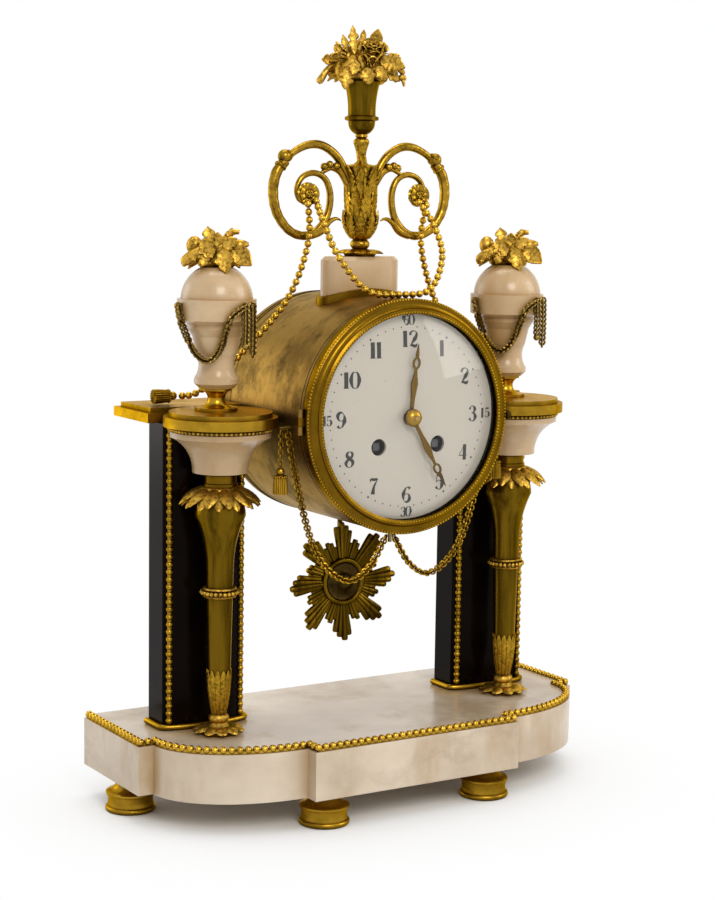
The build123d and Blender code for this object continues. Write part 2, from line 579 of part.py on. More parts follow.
# Front bezel with its domed glass
bezel_back = DRUM_FRONT_Y - BEZEL_GAP
bezel_front = bezel_back - BEZEL_DEPTH
bezel_inside = bezel_radius - BEZEL_BODY_WIDTH
seat_radius = bezel_opening + 2.4
lip_y = bezel_front + GLASS_SEAT
bezel = spun([
    (bezel_inside, bezel_back), (bezel_radius, bezel_back), (bezel_radius, bezel_back - 3.6),
    (bezel_radius - 1.6, bezel_back - 4.6),
    ((bezel_radius - 4.2, bezel_back - 4.9), (seat_radius + 0.4, bezel_front + 0.8)),
    (seat_radius - 0.8, bezel_front), (bezel_opening, bezel_front + 0.6), (bezel_opening, lip_y),
    (seat_radius, lip_y), (seat_radius, lip_y + GLASS_THICKNESS + 0.3),
    (bezel_inside, lip_y + GLASS_THICKNESS + 0.9)])
glass_y = lip_y + 0.04
glass_r = bezel_opening - 0.4
glass_low = glass_y + GLASS_THICKNESS
sphere_r = (glass_r ** 2 + GLASS_RISE ** 2) / (2 * GLASS_RISE)
mid_rise = sqrt(sphere_r ** 2 - (glass_r / 2) ** 2) - (sphere_r - GLASS_RISE)
glass = spun([
    (seat_radius - 0.1, glass_low), (seat_radius - 0.1, glass_y), (glass_r, glass_y),
    ((glass_r / 2, glass_y - mid_rise), (0, glass_y - GLASS_RISE)), (0, glass_low - GLASS_RISE),
    ((glass_r / 2, glass_low - mid_rise), (glass_r, glass_low))])
bezel_hinge_x = -(bezel_radius + HINGE_RADIUS)
bezel_leaf, bezel_ears, bezel_pin = hinge(
    bezel_hinge_x, DRUM_FRONT_Y, (bezel_back - 1.6, bezel_back),
    (DRUM_FRONT_Y + 0.3, DRUM_FRONT_Y + HINGE_RADIUS))
bezel += bezel_leaf - spun([(0, bezel_back - 60), (bezel_inside + 1, bezel_back - 60),
    (bezel_inside + 1, 0), (0, 0)])
ear_room = rod_y(drum_inside + 0.4, DRUM_FRONT_Y - 60, DRUM_BACK_Y + 60)
for ear in bezel_ears:
    drum += ear - ear_room

# Back door, pierced to let the bell sound
door_front = DRUM_BACK_Y + BEZEL_GAP
door_back = door_front + DOOR_THICKNESS
door = rod_y(door_radius, door_front, door_back)
for hole in range(DOOR_HOLES):
    turn = 2 * pi * hole / DOOR_HOLES
    door = door - rod_y(DOOR_HOLE_RADIUS, door_front, door_back, door_hole_ring * cos(turn),
        door_hole_ring * sin(turn))
knob_x = door_radius - 9
door += spun([
    (0, door_back), (2, door_back), (2, door_back + 1.5), (DOOR_KNOB_RADIUS, door_back + 2.2),
    ((DOOR_KNOB_RADIUS - 0.6, door_back + 4.3), (0.8, door_back + 5.2)), (0, door_back + 5.2)], knob_x)
door_hinge_x = -(door_radius + HINGE_RADIUS)
door_hinge_y = DRUM_BACK_Y + HINGE_RADIUS + 0.1
door_leaf, door_ears, door_pin = hinge(
    door_hinge_x, door_hinge_y, (door_back - 1.0, door_hinge_y + HINGE_RADIUS),
    (flange_front + 0.2, door_hinge_y))
door += door_leaf
for ear in door_ears:
    drum += ear - rod_y(door_radius + RUNNING_FIT * 5, DRUM_BACK_Y, door_back + 9)

# Dial plate on the drum's lip, and the domed enamel dial before it
plate_front = lip_front - DIAL_PLATE_THICKNESS
winding_places = [(side * WINDING_X, -WINDING_DROP) for side in (1, -1)]
dial_plate = rod_y(drum_inside - 0.2, plate_front, lip_front) - rod_y(4.2, plate_front, lip_front)
for x, z in winding_places:
    dial_plate = dial_plate - rod_y(WINDING_HOLE_RADIUS + 0.9, plate_front, lip_front, x, z)
for post in range(4):
    turn = radians(45 + 90 * post)
    dial_plate += rod_y(2.4, lip_front, FRAME_FRONT_Y, 44 * cos(turn), 44 * sin(turn))
dial_back = plate_front - 0.05
dial_edge = dial_back - DIAL_THICKNESS
dome_r = (dial_radius ** 2 + DIAL_DOME ** 2) / (2 * DIAL_DOME)
dome_mid = sqrt(dome_r ** 2 - (dial_radius / 2) ** 2) - (dome_r - DIAL_DOME)
dial = spun([
    (dial_radius, dial_back), (dial_radius, dial_edge),
    ((dial_radius / 2, dial_edge - dome_mid), (0, dial_edge - DIAL_DOME)), (0, dial_back - DIAL_DOME),
    ((dial_radius / 2, dial_back - dome_mid), (dial_radius, dial_back))])
dial = dial - rod_y(3.4, dial_edge - 9, dial_back + 1)
for x, z in winding_places:
    dial = dial - rod_y(WINDING_HOLE_RADIUS, dial_edge - 9, dial_back + 1, x, z)

# Hands and the nut that holds them
dial_face = dial_edge - DIAL_DOME
hour_hand_back = dial_face - 1.3
hour_hand_front = hour_hand_back - HAND_THICKNESS
minute_hand_back = hour_hand_front - 1.1
minute_hand_front = minute_hand_back - HAND_THICKNESS


def hand_outline(length, hub, bore):
    """A swelled blade with a pierced loop before its point."""
    loop = length * 0.74
    blade = make_face(Polyline(
        (-0.9, 0), (-1.1, length * 0.25), (-2.1, length * 0.46), (-0.8, length * 0.62), (-0.7, loop),
        (-1.0, length * 0.86), (0, length), (1.0, length * 0.86), (0.7, loop), (0.8, length * 0.62),
        (2.1, length * 0.46), (1.1, length * 0.25), (0.9, 0), close=True))
    outline = blade + Circle(hub) + Pos(0, loop) * Ellipse(2.5, 3.3)
    return outline - Pos(0, loop) * Ellipse(1.4, 2.2) - Circle(bore)


hour_hand = sheet_y(Rot(0, 0, -HOUR_HAND_ANGLE) * hand_outline(HOUR_HAND_LENGTH, 4.6,
    HOUR_PIPE_RADIUS + 0.02),
                    hour_hand_front, hour_hand_back)
minute_hand = sheet_y(Rot(0, 0, -MINUTE_HAND_ANGLE) * hand_outline(MINUTE_HAND_LENGTH, 4.0,
    CANNON_RADIUS + 0.02),
                      minute_hand_front, minute_hand_back)
nut_front = minute_hand_front - 3.6
hand_nut = spun([
    (ARBOR_RADIUS + 0.02, minute_hand_front - 0.02), (HAND_NUT_RADIUS, minute_hand_front - 0.02),
    (HAND_NUT_RADIUS, minute_hand_front - 0.9),
    ((HAND_NUT_RADIUS * 0.72, minute_hand_front - 2.7), (ARBOR_RADIUS + 0.02, nut_front))])


# Wheelwork: short straight-sided teeth cut thin, so that each pair runs with play
def teeth_outline(count, module, phase):
    """A toothed outline with a tooth at the phase angle."""
    pitch = count * module / 2
    wide = 0.36 if count > 16 else 0.30
    tip = 0.14 if count > 16 else 0.16
    root_r = pitch - 1.25 * module
    tip_r = pitch + 0.85 * module
    step = 2 * pi / count
    points = []
    for tooth in range(count):
        mid = phase + tooth * step
        for r, share in ((root_r, -wide / 2 - 0.05), (tip_r, -tip / 2), (tip_r, tip / 2),
            (root_r, wide / 2 + 0.05)):
            points.append((r * cos(mid + share * step), r * sin(mid + share * step)))
    return make_face(Polyline(*points, close=True))


def gear(count, module, place, y0, y1, phase=0.0):
    """A wheel or pinion at a place given from the drum's axis, pierced if it is large."""
    outline = teeth_outline(count, module, phase)
    pitch = count * module / 2
    if count > 30:
        for hole in range(5):
            turn = 2 * pi * hole / 5
            outline = outline - Pos(0.58 * pitch * cos(turn),
                0.58 * pitch * sin(turn)) * Circle(0.24 * pitch)
    return sheet_y(outline, y0, y1, *place)


def mesh(place1, count1, phase1, place2, count2):
    """The phase that puts a gap of the second wheel on the first wheel's tooth."""
    way = atan2(place2[1] - place1[1], place2[0] - place1[0])
    share = (way - phase1) / (2 * pi / count1)
    return way + pi - (0.5 - share) * (2 * pi / count2)


def meet(place1, r1, place2, r2):
    """The point at r1 from one place and r2 from another, to the left of the way between them."""
    dx, dz = place2[0] - place1[0], place2[1] - place1[1]
    d = hypot(dx, dz)
    along = (r1 ** 2 - r2 ** 2 + d ** 2) / (2 * d)
    off = sqrt(r1 ** 2 - along ** 2)
    return (place1[0] + (along * dx - off * dz) / d, place1[1] + (along * dz + off * dx) / d)


def centre_distance(count1, count2, module):
    """How far apart two wheels of one module stand."""
    return (count1 + count2) * module / 2


centre = (0.0, 0.0)
going_place, strike_place = winding_places
barrel_reach = centre_distance(BARREL_TEETH, BARREL_PINION, BARREL_MODULE)
second_place = meet(centre, centre_distance(SECOND_TEETH, CENTRE_PINION, SECOND_MODULE), going_place,
    barrel_reach)
strike_wheel_place = (-second_place[0], second_place[1])
third_place = (0.0, centre_distance(CENTRE_TEETH, THIRD_PINION, CENTRE_MODULE))
escape_place = (0.0, third_place[1] + centre_distance(THIRD_TEETH, ESCAPE_PINION, THIRD_MODULE))
anchor_place = (0.0, pendulum_pivot_z - DRUM_AXIS_Z)
minute_place = (0.0, MINUTE_WORK_DISTANCE)


def from_place(place, distance, turn):
    """A place at a distance and a direction from another."""
    return (place[0] + distance * cos(radians(turn)), place[1] + distance * sin(radians(turn)))


pin_place = from_place(strike_wheel_place, centre_distance(STRIKE_TEETH, PIN_PINION, STRIKE_MODULE), 95)
warning_place = from_place(pin_place, centre_distance(PIN_TEETH, WARNING_PINION, PIN_MODULE), 200)
fly_place = from_place(warning_place, centre_distance(WARNING_TEETH, FLY_PINION, WARNING_MODULE), 120)
hammer_place = (-33.0, 8.0)


def level(depth):
    """A depth behind the front plate's inner face."""
    return frame_back + depth


def wheel_on(count, module, place, depth, phase=0.0, extra=0.0):
    """A wheel at a depth between the plates."""
    return gear(count, module, place, level(depth) - extra, level(depth) + GEAR_WIDTH + extra, phase)


def arbor(place, front=FRAME_FRONT_Y, back=back_plate_back, radius=ARBOR_RADIUS):
    """A plain arbor with its pivots in the two plates."""
    return rod_y(radius, front, back, *place)


def slim_arbor(place):
    """The thin arbor of a wheel with a small pinion."""
    return arbor(place, radius=SLIM_ARBOR_RADIUS)


def barrel(place, wheel_depth, drum_depth):
    """A barrel with its great wheel, hollow for the coiled spring."""
    body = rod_y(BARREL_RADIUS, level(drum_depth), level(drum_depth + BARREL_HEIGHT), *place)
    body = body - rod_y(BARREL_RADIUS - 1.4, level(drum_depth + 1.4),
        level(drum_depth + BARREL_HEIGHT - 1.4), *place)
    toothed = gear(BARREL_TEETH, BARREL_MODULE, place, level(wheel_depth), level(wheel_depth) + 2.2)
    toothed = toothed + rod_y(BARREL_RADIUS, level(wheel_depth), level(wheel_depth) + 2.2, *place)
    bore = rod_y(3.0 + RUNNING_FIT, level(0), level(MOVEMENT_GAP), *place)
    link = rod_y(BARREL_RADIUS - 3, min(level(wheel_depth), level(drum_depth)),
        max(level(wheel_depth), level(drum_depth)) + 2.2, *place)
    link = link - rod_y(BARREL_RADIUS - 3, level(drum_depth + 1.4),
        level(drum_depth + BARREL_HEIGHT - 1.4), *place)
    spring = rod_y(BARREL_RADIUS - 1.8, level(drum_depth + 2), level(drum_depth + BARREL_HEIGHT - 2),
        *place)
    spring = spring - rod_y(BARREL_RADIUS - 7, level(drum_depth), level(drum_depth + BARREL_HEIGHT), *place)
    return body + toothed + link - bore, spring


going_barrel, going_spring = barrel(going_place, 25.0, 5.0)
strike_barrel, strike_spring = barrel(strike_place, 5.5, 9.0)


def winding_arbor(place):
    """The arbor of a barrel, square at the front for the key."""
    round_part = rod_y(3.0, FRAME_FRONT_Y - 1.0, back_plate_front - 0.3, *place)
    pivot = rod_y(2.0, back_plate_front - 0.3, back_plate_back, *place)
    square = sheet_y(Rectangle(WINDING_SQUARE, WINDING_SQUARE), dial_back - 1.0, FRAME_FRONT_Y - 1.0,
        *place)
    return round_part + pivot + square


going_arbor, strike_arbor = (winding_arbor(place) for place in winding_places)

second_phase = mesh(going_place, BARREL_TEETH, 0, second_place, BARREL_PINION)
second_wheel = arbor(second_place) + wheel_on(SECOND_TEETH, SECOND_MODULE, second_place, 30)
second_wheel += gear(BARREL_PINION, BARREL_MODULE, second_place, level(25) - PINION_EXTRA,
    level(27.2) + PINION_EXTRA, second_phase)
centre_phase = mesh(second_place, SECOND_TEETH, 0, centre, CENTRE_PINION)
centre_arbor = arbor(centre, nut_front - 0.6) + wheel_on(CENTRE_TEETH, CENTRE_MODULE, centre, 33.8)
centre_arbor += wheel_on(CENTRE_PINION, SECOND_MODULE, centre, 30, centre_phase, PINION_EXTRA)
third_phase = mesh(centre, CENTRE_TEETH, 0, third_place, THIRD_PINION)
third_wheel = slim_arbor(third_place) + wheel_on(THIRD_TEETH, THIRD_MODULE, third_place, 15)
third_wheel += wheel_on(THIRD_PINION, CENTRE_MODULE, third_place, 33.8, third_phase, PINION_EXTRA)
escape_phase = mesh(third_place, THIRD_TEETH, 0, escape_place, ESCAPE_PINION)
saw = []
for tooth in range(ESCAPE_TEETH):
    turn = 2 * pi * tooth / ESCAPE_TEETH
    lean = 2 * pi / ESCAPE_TEETH * 0.35
    for r, a in ((ESCAPE_RADIUS - 1.9, turn - lean), (ESCAPE_RADIUS, turn),
        (ESCAPE_RADIUS - 1.9, turn + lean * 0.2)):
        saw.append((r * cos(a), r * sin(a)))
escape_wheel = slim_arbor(escape_place) + sheet_y(make_face(Polyline(*saw, close=True)), level(20),
    level(20) + GEAR_WIDTH, *escape_place)
escape_wheel += wheel_on(ESCAPE_PINION, THIRD_MODULE, escape_place, 15, escape_phase, PINION_EXTRA)

# Motion work between the front plate and the dial plate
work_y = FRAME_FRONT_Y - 0.5 - GEAR_WIDTH
hour_y = work_y - 1.0 - GEAR_WIDTH
minute_phase = mesh(centre, CANNON_TEETH, 0, minute_place, MINUTE_TEETH)
hour_phase = mesh(minute_place, MINUTE_PINION, 0, centre, HOUR_TEETH)
cannon_pinion = gear(CANNON_TEETH, CANNON_MODULE, centre, work_y, work_y + GEAR_WIDTH)
cannon_pinion += rod_y(CANNON_RADIUS, minute_hand_front, work_y)
cannon_pinion = cannon_pinion - rod_y(ARBOR_RADIUS + 0.02, minute_hand_front - 1, FRAME_FRONT_Y)
minute_wheel = gear(MINUTE_TEETH, CANNON_MODULE, minute_place, work_y, work_y + GEAR_WIDTH, minute_phase)
minute_wheel += gear(MINUTE_PINION, HOUR_MODULE, minute_place, hour_y - 0.3, work_y)
minute_wheel = minute_wheel - rod_y(ARBOR_RADIUS + RUNNING_FIT, hour_y - 1, FRAME_FRONT_Y, *minute_place)
hour_wheel = gear(HOUR_TEETH, HOUR_MODULE, centre, hour_y, hour_y + GEAR_WIDTH, hour_phase)
hour_wheel += rod_y(HOUR_PIPE_RADIUS, hour_hand_front, hour_y + GEAR_WIDTH)
hour_wheel = hour_wheel - rod_y(CANNON_RADIUS + RUNNING_FIT, hour_hand_front - 1, work_y)

# Striking train
strike_phase = mesh(strike_place, BARREL_TEETH, 0, strike_wheel_place, BARREL_PINION)
count_y = back_plate_back + 1.6
strike_wheel = arbor(strike_wheel_place, FRAME_FRONT_Y, count_y + 1.2) + wheel_on(STRIKE_TEETH,
    STRIKE_MODULE, strike_wheel_place, 1.8)
strike_wheel += gear(BARREL_PINION, BARREL_MODULE, strike_wheel_place, level(5.5) - PINION_EXTRA,
    level(7.7) + PINION_EXTRA, strike_phase)
count_face = Circle(COUNT_WHEEL_RADIUS)
blow = 0
for hour in range(1, 13):
    for blows in (hour, 1):
        blow += blows
        count_face -= Rot(0, 0, 360 * blow / 90) * Pos(COUNT_WHEEL_RADIUS - 0.6, 0) * Rectangle(2.4, 0.7)
strike_wheel += sheet_y(count_face, count_y, count_y + 1.2, *strike_wheel_place)
pin_phase = mesh(strike_wheel_place, STRIKE_TEETH, 0, pin_place, PIN_PINION)
pin_wheel = slim_arbor(pin_place) + wheel_on(PIN_TEETH, PIN_MODULE, pin_place, 10)
pin_wheel += wheel_on(PIN_PINION, STRIKE_MODULE, pin_place, 1.8, pin_phase, PINION_EXTRA)
for pin in range(10):
    turn = 2 * pi * pin / 10
    pin_wheel += rod_y(0.5, level(7), level(10.4), pin_place[0] + PIN_RING * cos(turn),
        pin_place[1] + PIN_RING * sin(turn))
warning_phase = mesh(pin_place, PIN_TEETH, 0, warning_place, WARNING_PINION)
warning_wheel = slim_arbor(warning_place) + wheel_on(WARNING_TEETH, WARNING_MODULE, warning_place, 24)
warning_wheel += wheel_on(WARNING_PINION, PIN_MODULE, warning_place, 10, warning_phase, PINION_EXTRA)
fly_phase = mesh(warning_place, WARNING_TEETH, 0, fly_place, FLY_PINION)
fly = slim_arbor(fly_place) + wheel_on(FLY_PINION, WARNING_MODULE, fly_place, 24, fly_phase, PINION_EXTRA)
fly += sheet_y(Rectangle(12, 0.8), level(28.5), level(36), *fly_place)

# Hammer: arbor, tail toward the pins, head beside the bell
bell_place = (BELL_X, -BELL_DROP)
bell_rim = PENDULUM_Y + ROD_RADIUS + 1.8
bell_crown = bell_rim + BELL_DEPTH
head_way = 150
head_place = from_place(bell_place, BELL_RADIUS + 3.6, head_way)
hammer_y = bell_rim + 1.5
tail_turn = atan2(pin_place[1] - hammer_place[1], pin_place[0] - hammer_place[0])
tail_long = hypot(pin_place[0] - hammer_place[0], pin_place[1] - hammer_place[1]) - PIN_RING - 1.0
hammer = arbor(hammer_place, FRAME_FRONT_Y, hammer_y + 2)
hammer += sheet_y(Rot(0, 0, degrees(tail_turn)) * Pos(tail_long / 2, 0) * Rectangle(tail_long, 1.6),
    level(7.2), level(9.4), *hammer_place)
head_dx, head_dz = head_place[0] - hammer_place[0], head_place[1] - hammer_place[1]
head_long = hypot(head_dx, head_dz)
hammer += sheet_y(Rot(0, 0, degrees(atan2(head_dz, head_dx))) * Pos(head_long / 2,
    0) * Rectangle(head_long, 1.8), hammer_y, hammer_y + 1.6, *hammer_place)
hammer += rod_y(3.0, hammer_y - 1, hammer_y + 4, *head_place)

# Bell on its post, open toward the movement
bell = Pos(bell_place[0], 0, DRUM_AXIS_Z + bell_place[1]) * revolve(profile([
    (BELL_RADIUS, bell_rim), ((BELL_RADIUS * 0.8, bell_rim + BELL_DEPTH * 0.62), (2.0, bell_crown)),
    (2.0, bell_crown - BELL_WALL), ((BELL_RADIUS * 0.77, bell_rim + BELL_DEPTH * 0.56),
        (BELL_RADIUS - BELL_WALL, bell_rim))]), Axis.Y)
bell_post = rod_y(1.95, back_plate_back, bell_crown + 2, *bell_place) + rod_y(4, bell_crown,
    bell_crown + 1.6, *bell_place)

# Anchor with its crutch, clear of the escape wheel through the whole swing
anchor_face = make_face(Polyline(
    (-8.6, -7.2), (-9.6, -5.2), (-3.2, 2.9), (3.2, 2.9), (9.6, -5.2), (8.6, -7.2), (7.6, -5.8), (4, -3.4),
    (0, -2.6), (-4, -3.4), (-7.6, -5.8), close=True))
crutch_y = PENDULUM_Y - ROD_RADIUS - 3.4
crutch_low = 32.0
anchor = arbor(anchor_place, FRAME_FRONT_Y, crutch_y + 1.2) + sheet_y(anchor_face, level(19.8),
    level(22), *anchor_place)
anchor += sheet_y(Pos(0, -crutch_low / 2) * Rectangle(3, crutch_low), crutch_y, crutch_y + 1.2,
    *anchor_place)
anchor += sheet_y(Circle(3), crutch_y, crutch_y + 1.2, *anchor_place)
fork = ROD_RADIUS + 0.3
anchor += sheet_y(Pos(0, -crutch_low) * Rectangle(2 * fork + 2.4, 2.4), crutch_y, crutch_y + 1.2,
    *anchor_place)
for side in (-1, 1):
    anchor += sheet_y(Pos(side * (fork + 0.6), -crutch_low) * Rectangle(1.2, 2.4), crutch_y,
        PENDULUM_Y + ROD_RADIUS, *anchor_place)

# Suspension cock on the back plate, with the pin that the pendulum hangs from
cock_back = PENDULUM_Y + ROD_RADIUS + 2.4
cock = sheet_y(Rectangle(14, 7.0) - Circle(ARBOR_RADIUS + 0.4), back_plate_back, back_plate_back + 2,
    *anchor_place)
cock += sheet_y(Pos(0, 5.2) * Rectangle(6, 3.6), back_plate_back, cock_back + 2, *anchor_place)
cock += sheet_y(Pos(0, 2.5) * Rectangle(6, 8.0), cock_back, cock_back + 2, *anchor_place)
cock += rod_y(HANG_PIN, PENDULUM_Y - ROD_RADIUS - 0.5, cock_back, *anchor_place)

# Pendulum: hung rod with a shelf for the clips of the sunburst bob
rod_top = pendulum_pivot_z - HANG_PIN - 1.2
rod_low = bob_z - BOB_BOSS_RADIUS
clip_half = 6.0
pendulum_rod = Pos(0, PENDULUM_Y, (rod_top + rod_low) / 2) * Cylinder(ROD_RADIUS, rod_top - rod_low)
pendulum_rod += sheet_y(Circle(2.6), PENDULUM_Y - 1.3, PENDULUM_Y + 1.3, *anchor_place)
pendulum_rod = pendulum_rod - rod_y(HANG_PIN + RUNNING_FIT, PENDULUM_Y - 5, PENDULUM_Y + 5, *anchor_place)
pendulum_rod += box(
    -4.2, 4.2, PENDULUM_Y - ROD_RADIUS, PENDULUM_Y + ROD_RADIUS, bob_z - clip_half - 2,
    bob_z - clip_half - 0.02)
bob_back = PENDULUM_Y - ROD_RADIUS - 0.05
bob_front = bob_back - BOB_THICKNESS
ray_back = bob_back - 0.5
rays = RAY_PAIRS * len(RAY_LENGTHS)
ray_half = pi / rays * RAY_FILL
pendulum_bob = rod_y(BOB_RADIUS * RAY_ROOT * 1.1, bob_front, ray_back, 0, bob_z - DRUM_AXIS_Z)
for ray in range(rays):
    turn = 2 * pi * (ray - 1.5) / rays + pi / 2
    order = ray % len(RAY_LENGTHS)
    tip = RAY_LENGTHS[order]
    points = [(BOB_RADIUS * r * cos(turn + a), BOB_RADIUS * r * sin(turn + a)) for r, a in (
        (RAY_ROOT, -ray_half), (tip - 0.04, -ray_half), (tip, 0), (tip - 0.04, ray_half),
        (RAY_ROOT, ray_half))]
    ray_face = make_face(Polyline(*points, close=True))
    pendulum_bob += sheet_y(
        ray_face, bob_front + RAY_STEPS[order], ray_back - RAY_STEPS[order] / 2 - 0.1, 0,
        bob_z - DRUM_AXIS_Z)
pendulum_bob += rod_y(BOB_BOSS_RADIUS + 2, ray_back - 0.4, bob_back, 0, bob_z - DRUM_AXIS_Z)
pendulum_bob += spun([
    (0, bob_front + 0.6), (BOB_BOSS_RADIUS, bob_front + 0.6), (BOB_BOSS_RADIUS, bob_front - 1.4),
    ((BOB_BOSS_RADIUS * 0.7, bob_front - 4.4), (1.0, bob_front - 5.6)), (0, bob_front - 5.6)], 0, bob_z)
for side in (-1, 1):
    pendulum_bob += box(side * 3 - 1.2, side * 3 + 1.2, bob_back - 0.5, PENDULUM_Y + ROD_RADIUS,
        bob_z - clip_half, bob_z + clip_half)

# Movement plates, bored for every arbor, and their pillars
front_plate = rod_y(MOVEMENT_RADIUS, FRAME_FRONT_Y, frame_back)
back_plate = rod_y(MOVEMENT_RADIUS, back_plate_front, back_plate_back)
stout = [second_place, centre, anchor_place, strike_wheel_place, hammer_place]
slim = [third_place, escape_place, pin_place, warning_place, fly_place]
for radius, places in ((ARBOR_RADIUS, stout), (SLIM_ARBOR_RADIUS, slim)):
    for place in places:
        front_plate = front_plate - rod_y(radius + RUNNING_FIT, FRAME_FRONT_Y, frame_back, *place)
        back_plate = back_plate - rod_y(radius + RUNNING_FIT, back_plate_front, back_plate_back, *place)
for place in winding_places:
    front_plate = front_plate - rod_y(3.0 + RUNNING_FIT, FRAME_FRONT_Y, frame_back, *place)
    back_plate = back_plate - rod_y(2.0 + RUNNING_FIT, back_plate_front, back_plate_back, *place)
front_plate += rod_y(ARBOR_RADIUS, hour_y - 0.8, FRAME_FRONT_Y, *minute_place)
frame_pillars = [
    rod_y(FRAME_PILLAR_RADIUS, frame_back, back_plate_front, 43.5 * cos(radians(turn)),
        43.5 * sin(radians(turn)))
    for turn in (12, 62, 186, 270)]

# Chains and tassels
drum_chain = tube([
    (-DRUM_RADIUS - 2.0, HOOK_Y, DRUM_AXIS_Z - 6.6), (5.5 - DRUM_RADIUS, HOOK_Y, DRUM_AXIS_Z - 41.5),
    (15.0 - DRUM_RADIUS, HOOK_Y, drum_low - 6), (-40, HOOK_Y, drum_low - 21), (-26, HOOK_Y, drum_low - 28),
    (-13, HOOK_Y, drum_low - 20.5), (-3.0, HOOK_Y, drum_low - 5.0)], LINK_RADIUS, 9)
swag_half = [
    (ROSETTE_X - CHAIN_APART, SCROLL_Y - 8, rosette_z - 4), (36.4, -11.5, drum_top + 41),
    (34.5, -24.5, drum_top + 23), (21, -33, drum_top + 4.6)]
swag_other = [(-x, y, z) for x, y, z in reversed(swag_half)]
ball_swag = tube(swag_half + [(0, -33, drum_top + BALL_RADIUS + 0.1)] + swag_other, BALL_RADIUS, 6)
tassel_x, tassel_y = PILLAR_X + 13, 36.0
ball_strand = tube([
    (ROSETTE_X + CHAIN_APART, SCROLL_Y - 8, rosette_z - 5.5), (38, 3, drum_top + 29), (50, 6, drum_top - 3),
    (DRUM_RADIUS + 12.5, 14, DRUM_AXIS_Z + 29.5), (PILLAR_X - 3, 25, step_top + 8),
    (PILLAR_X + 3.2, tassel_y - 2, step_top + 4.8)], BALL_RADIUS, 8)
tassel = Pos(tassel_x, tassel_y, step_top + 4.8) * Rot(0, 90, 0) * revolve(Plane.XZ * profile([
    (0, -7.5), (2.2, -7.5), ((3.2, -6), (2.4, -4.5)), ((4.0, -1.5), (4.3, 3)), (3.6, 7.5), (0, 7.5)]),
    Axis.Z)
drop_z = DRUM_AXIS_Z - 27
drum_tassel = turned([
    (0, drop_z - 14), (3.8, drop_z - 14), ((4.2, drop_z - 7), (2.2, drop_z - 3)),
    ((2.8, drop_z - 1.5), (1.0, drop_z)),
    (1.0, DRUM_AXIS_Z - 6.4), (0, DRUM_AXIS_Z - 6.4)], DRUM_RADIUS + 6.2, HOOK_Y)
urn_links = [tube(points, LINK_RADIUS * 0.75, 5) for points, start in urn_chain]

os.makedirs("parts", exist_ok=True)
save("base_slab", slab)
save("base_beading", beading)
save("feet", *feet)
for name, piece in (("pier", pier), ("entablature", plate), ("urn", urn), ("scroll", scroll)):
    right, left = both(piece)
    save("right_" + name, right)
    save("left_" + name, left)
for name, pieces in (
        ("columns", [column_shaft]), ("capitals", [capital]), ("pier_mounts", [pier_moulding] + pier_beads),
        ("column_mounts", [column_foot, column_ring, column_collar, column_neck, capital_ring]),
        ("tie_rods", tie_rods), ("urn_feet", [urn_foot]), ("urn_fruit", [fruit]),
        ("tassels", [tassel, drum_tassel])):
    save(name, *[half for piece in pieces for half in both(piece)])
save("chain_hooks", *drum_hooks, *[half for hook in urn_hooks for half in twice(hook)])
save("link_chains", *both(drum_chain), *[half for links in urn_links for half in twice(links)])
save("ball_chains", ball_swag, *both(ball_strand))
save("movement_plates", front_plate, back_plate)
for name, piece in dict(
        plinth=plinth, plinth_moulding=plinth_moulding, finial_vase=vase, finial_cup=cup, bouquet=bouquet,
        drum_case=drum, bezel=bezel, bezel_glass=glass, back_door=door, dial_plate=dial_plate, dial=dial,
        hour_hand=hour_hand, minute_hand=minute_hand, hand_nut=hand_nut,
        suspension_cock=cock, going_arbor=going_arbor, strike_arbor=strike_arbor, second_wheel=second_wheel,
        centre_arbor=centre_arbor, third_wheel=third_wheel, escape_wheel=escape_wheel,
        cannon_pinion=cannon_pinion,
        minute_wheel=minute_wheel, hour_wheel=hour_wheel, strike_wheel=strike_wheel, pin_wheel=pin_wheel,
        warning_wheel=warning_wheel, fly=fly, hammer=hammer, anchor=anchor, pendulum_rod=pendulum_rod,
        pendulum_bob=pendulum_bob).items():
    save(name, piece)
save("hinge_pins", bezel_pin, door_pin)
save("frame_pillars", *frame_pillars)
save("bell", bell, bell_post)
save("going_barrel", going_barrel, going_spring)
save("strike_barrel", strike_barrel, strike_spring)
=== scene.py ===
"""Looks of a portico mantel clock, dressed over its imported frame."""

import json
import logging
from dataclasses import dataclass
from enum import Enum
from math import asin, atan2, cos, hypot, pi, radians, sin, tau
from typing import Any, Callable, Iterable, Sequence

import bmesh
import bpy
from bmesh.types import BMesh
from mathutils import Matrix, Vector
from mathutils.geometry import interpolate_bezier


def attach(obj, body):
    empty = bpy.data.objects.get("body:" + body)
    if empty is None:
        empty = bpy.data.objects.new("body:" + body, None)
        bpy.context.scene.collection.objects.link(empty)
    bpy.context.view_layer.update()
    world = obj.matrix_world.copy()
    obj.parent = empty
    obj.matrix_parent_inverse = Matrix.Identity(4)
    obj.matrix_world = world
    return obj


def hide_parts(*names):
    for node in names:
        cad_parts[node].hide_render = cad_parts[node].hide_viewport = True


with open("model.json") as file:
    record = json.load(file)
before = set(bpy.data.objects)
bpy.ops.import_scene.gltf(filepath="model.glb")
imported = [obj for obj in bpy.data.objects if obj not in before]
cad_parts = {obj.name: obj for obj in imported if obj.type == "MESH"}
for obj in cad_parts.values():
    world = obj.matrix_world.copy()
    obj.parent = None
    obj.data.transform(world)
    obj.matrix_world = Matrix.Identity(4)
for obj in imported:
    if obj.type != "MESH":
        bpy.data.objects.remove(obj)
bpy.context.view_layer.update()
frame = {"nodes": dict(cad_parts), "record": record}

LOG = logging.getLogger("clock")
SEEN_RAYS = ("Is Camera Ray", "Is Glossy Ray", "Is Transmission Ray")
SIDES = (-1, 1)
MILLIMETRE = 0.001
TINY = 1e-6
WELD = 1e-4
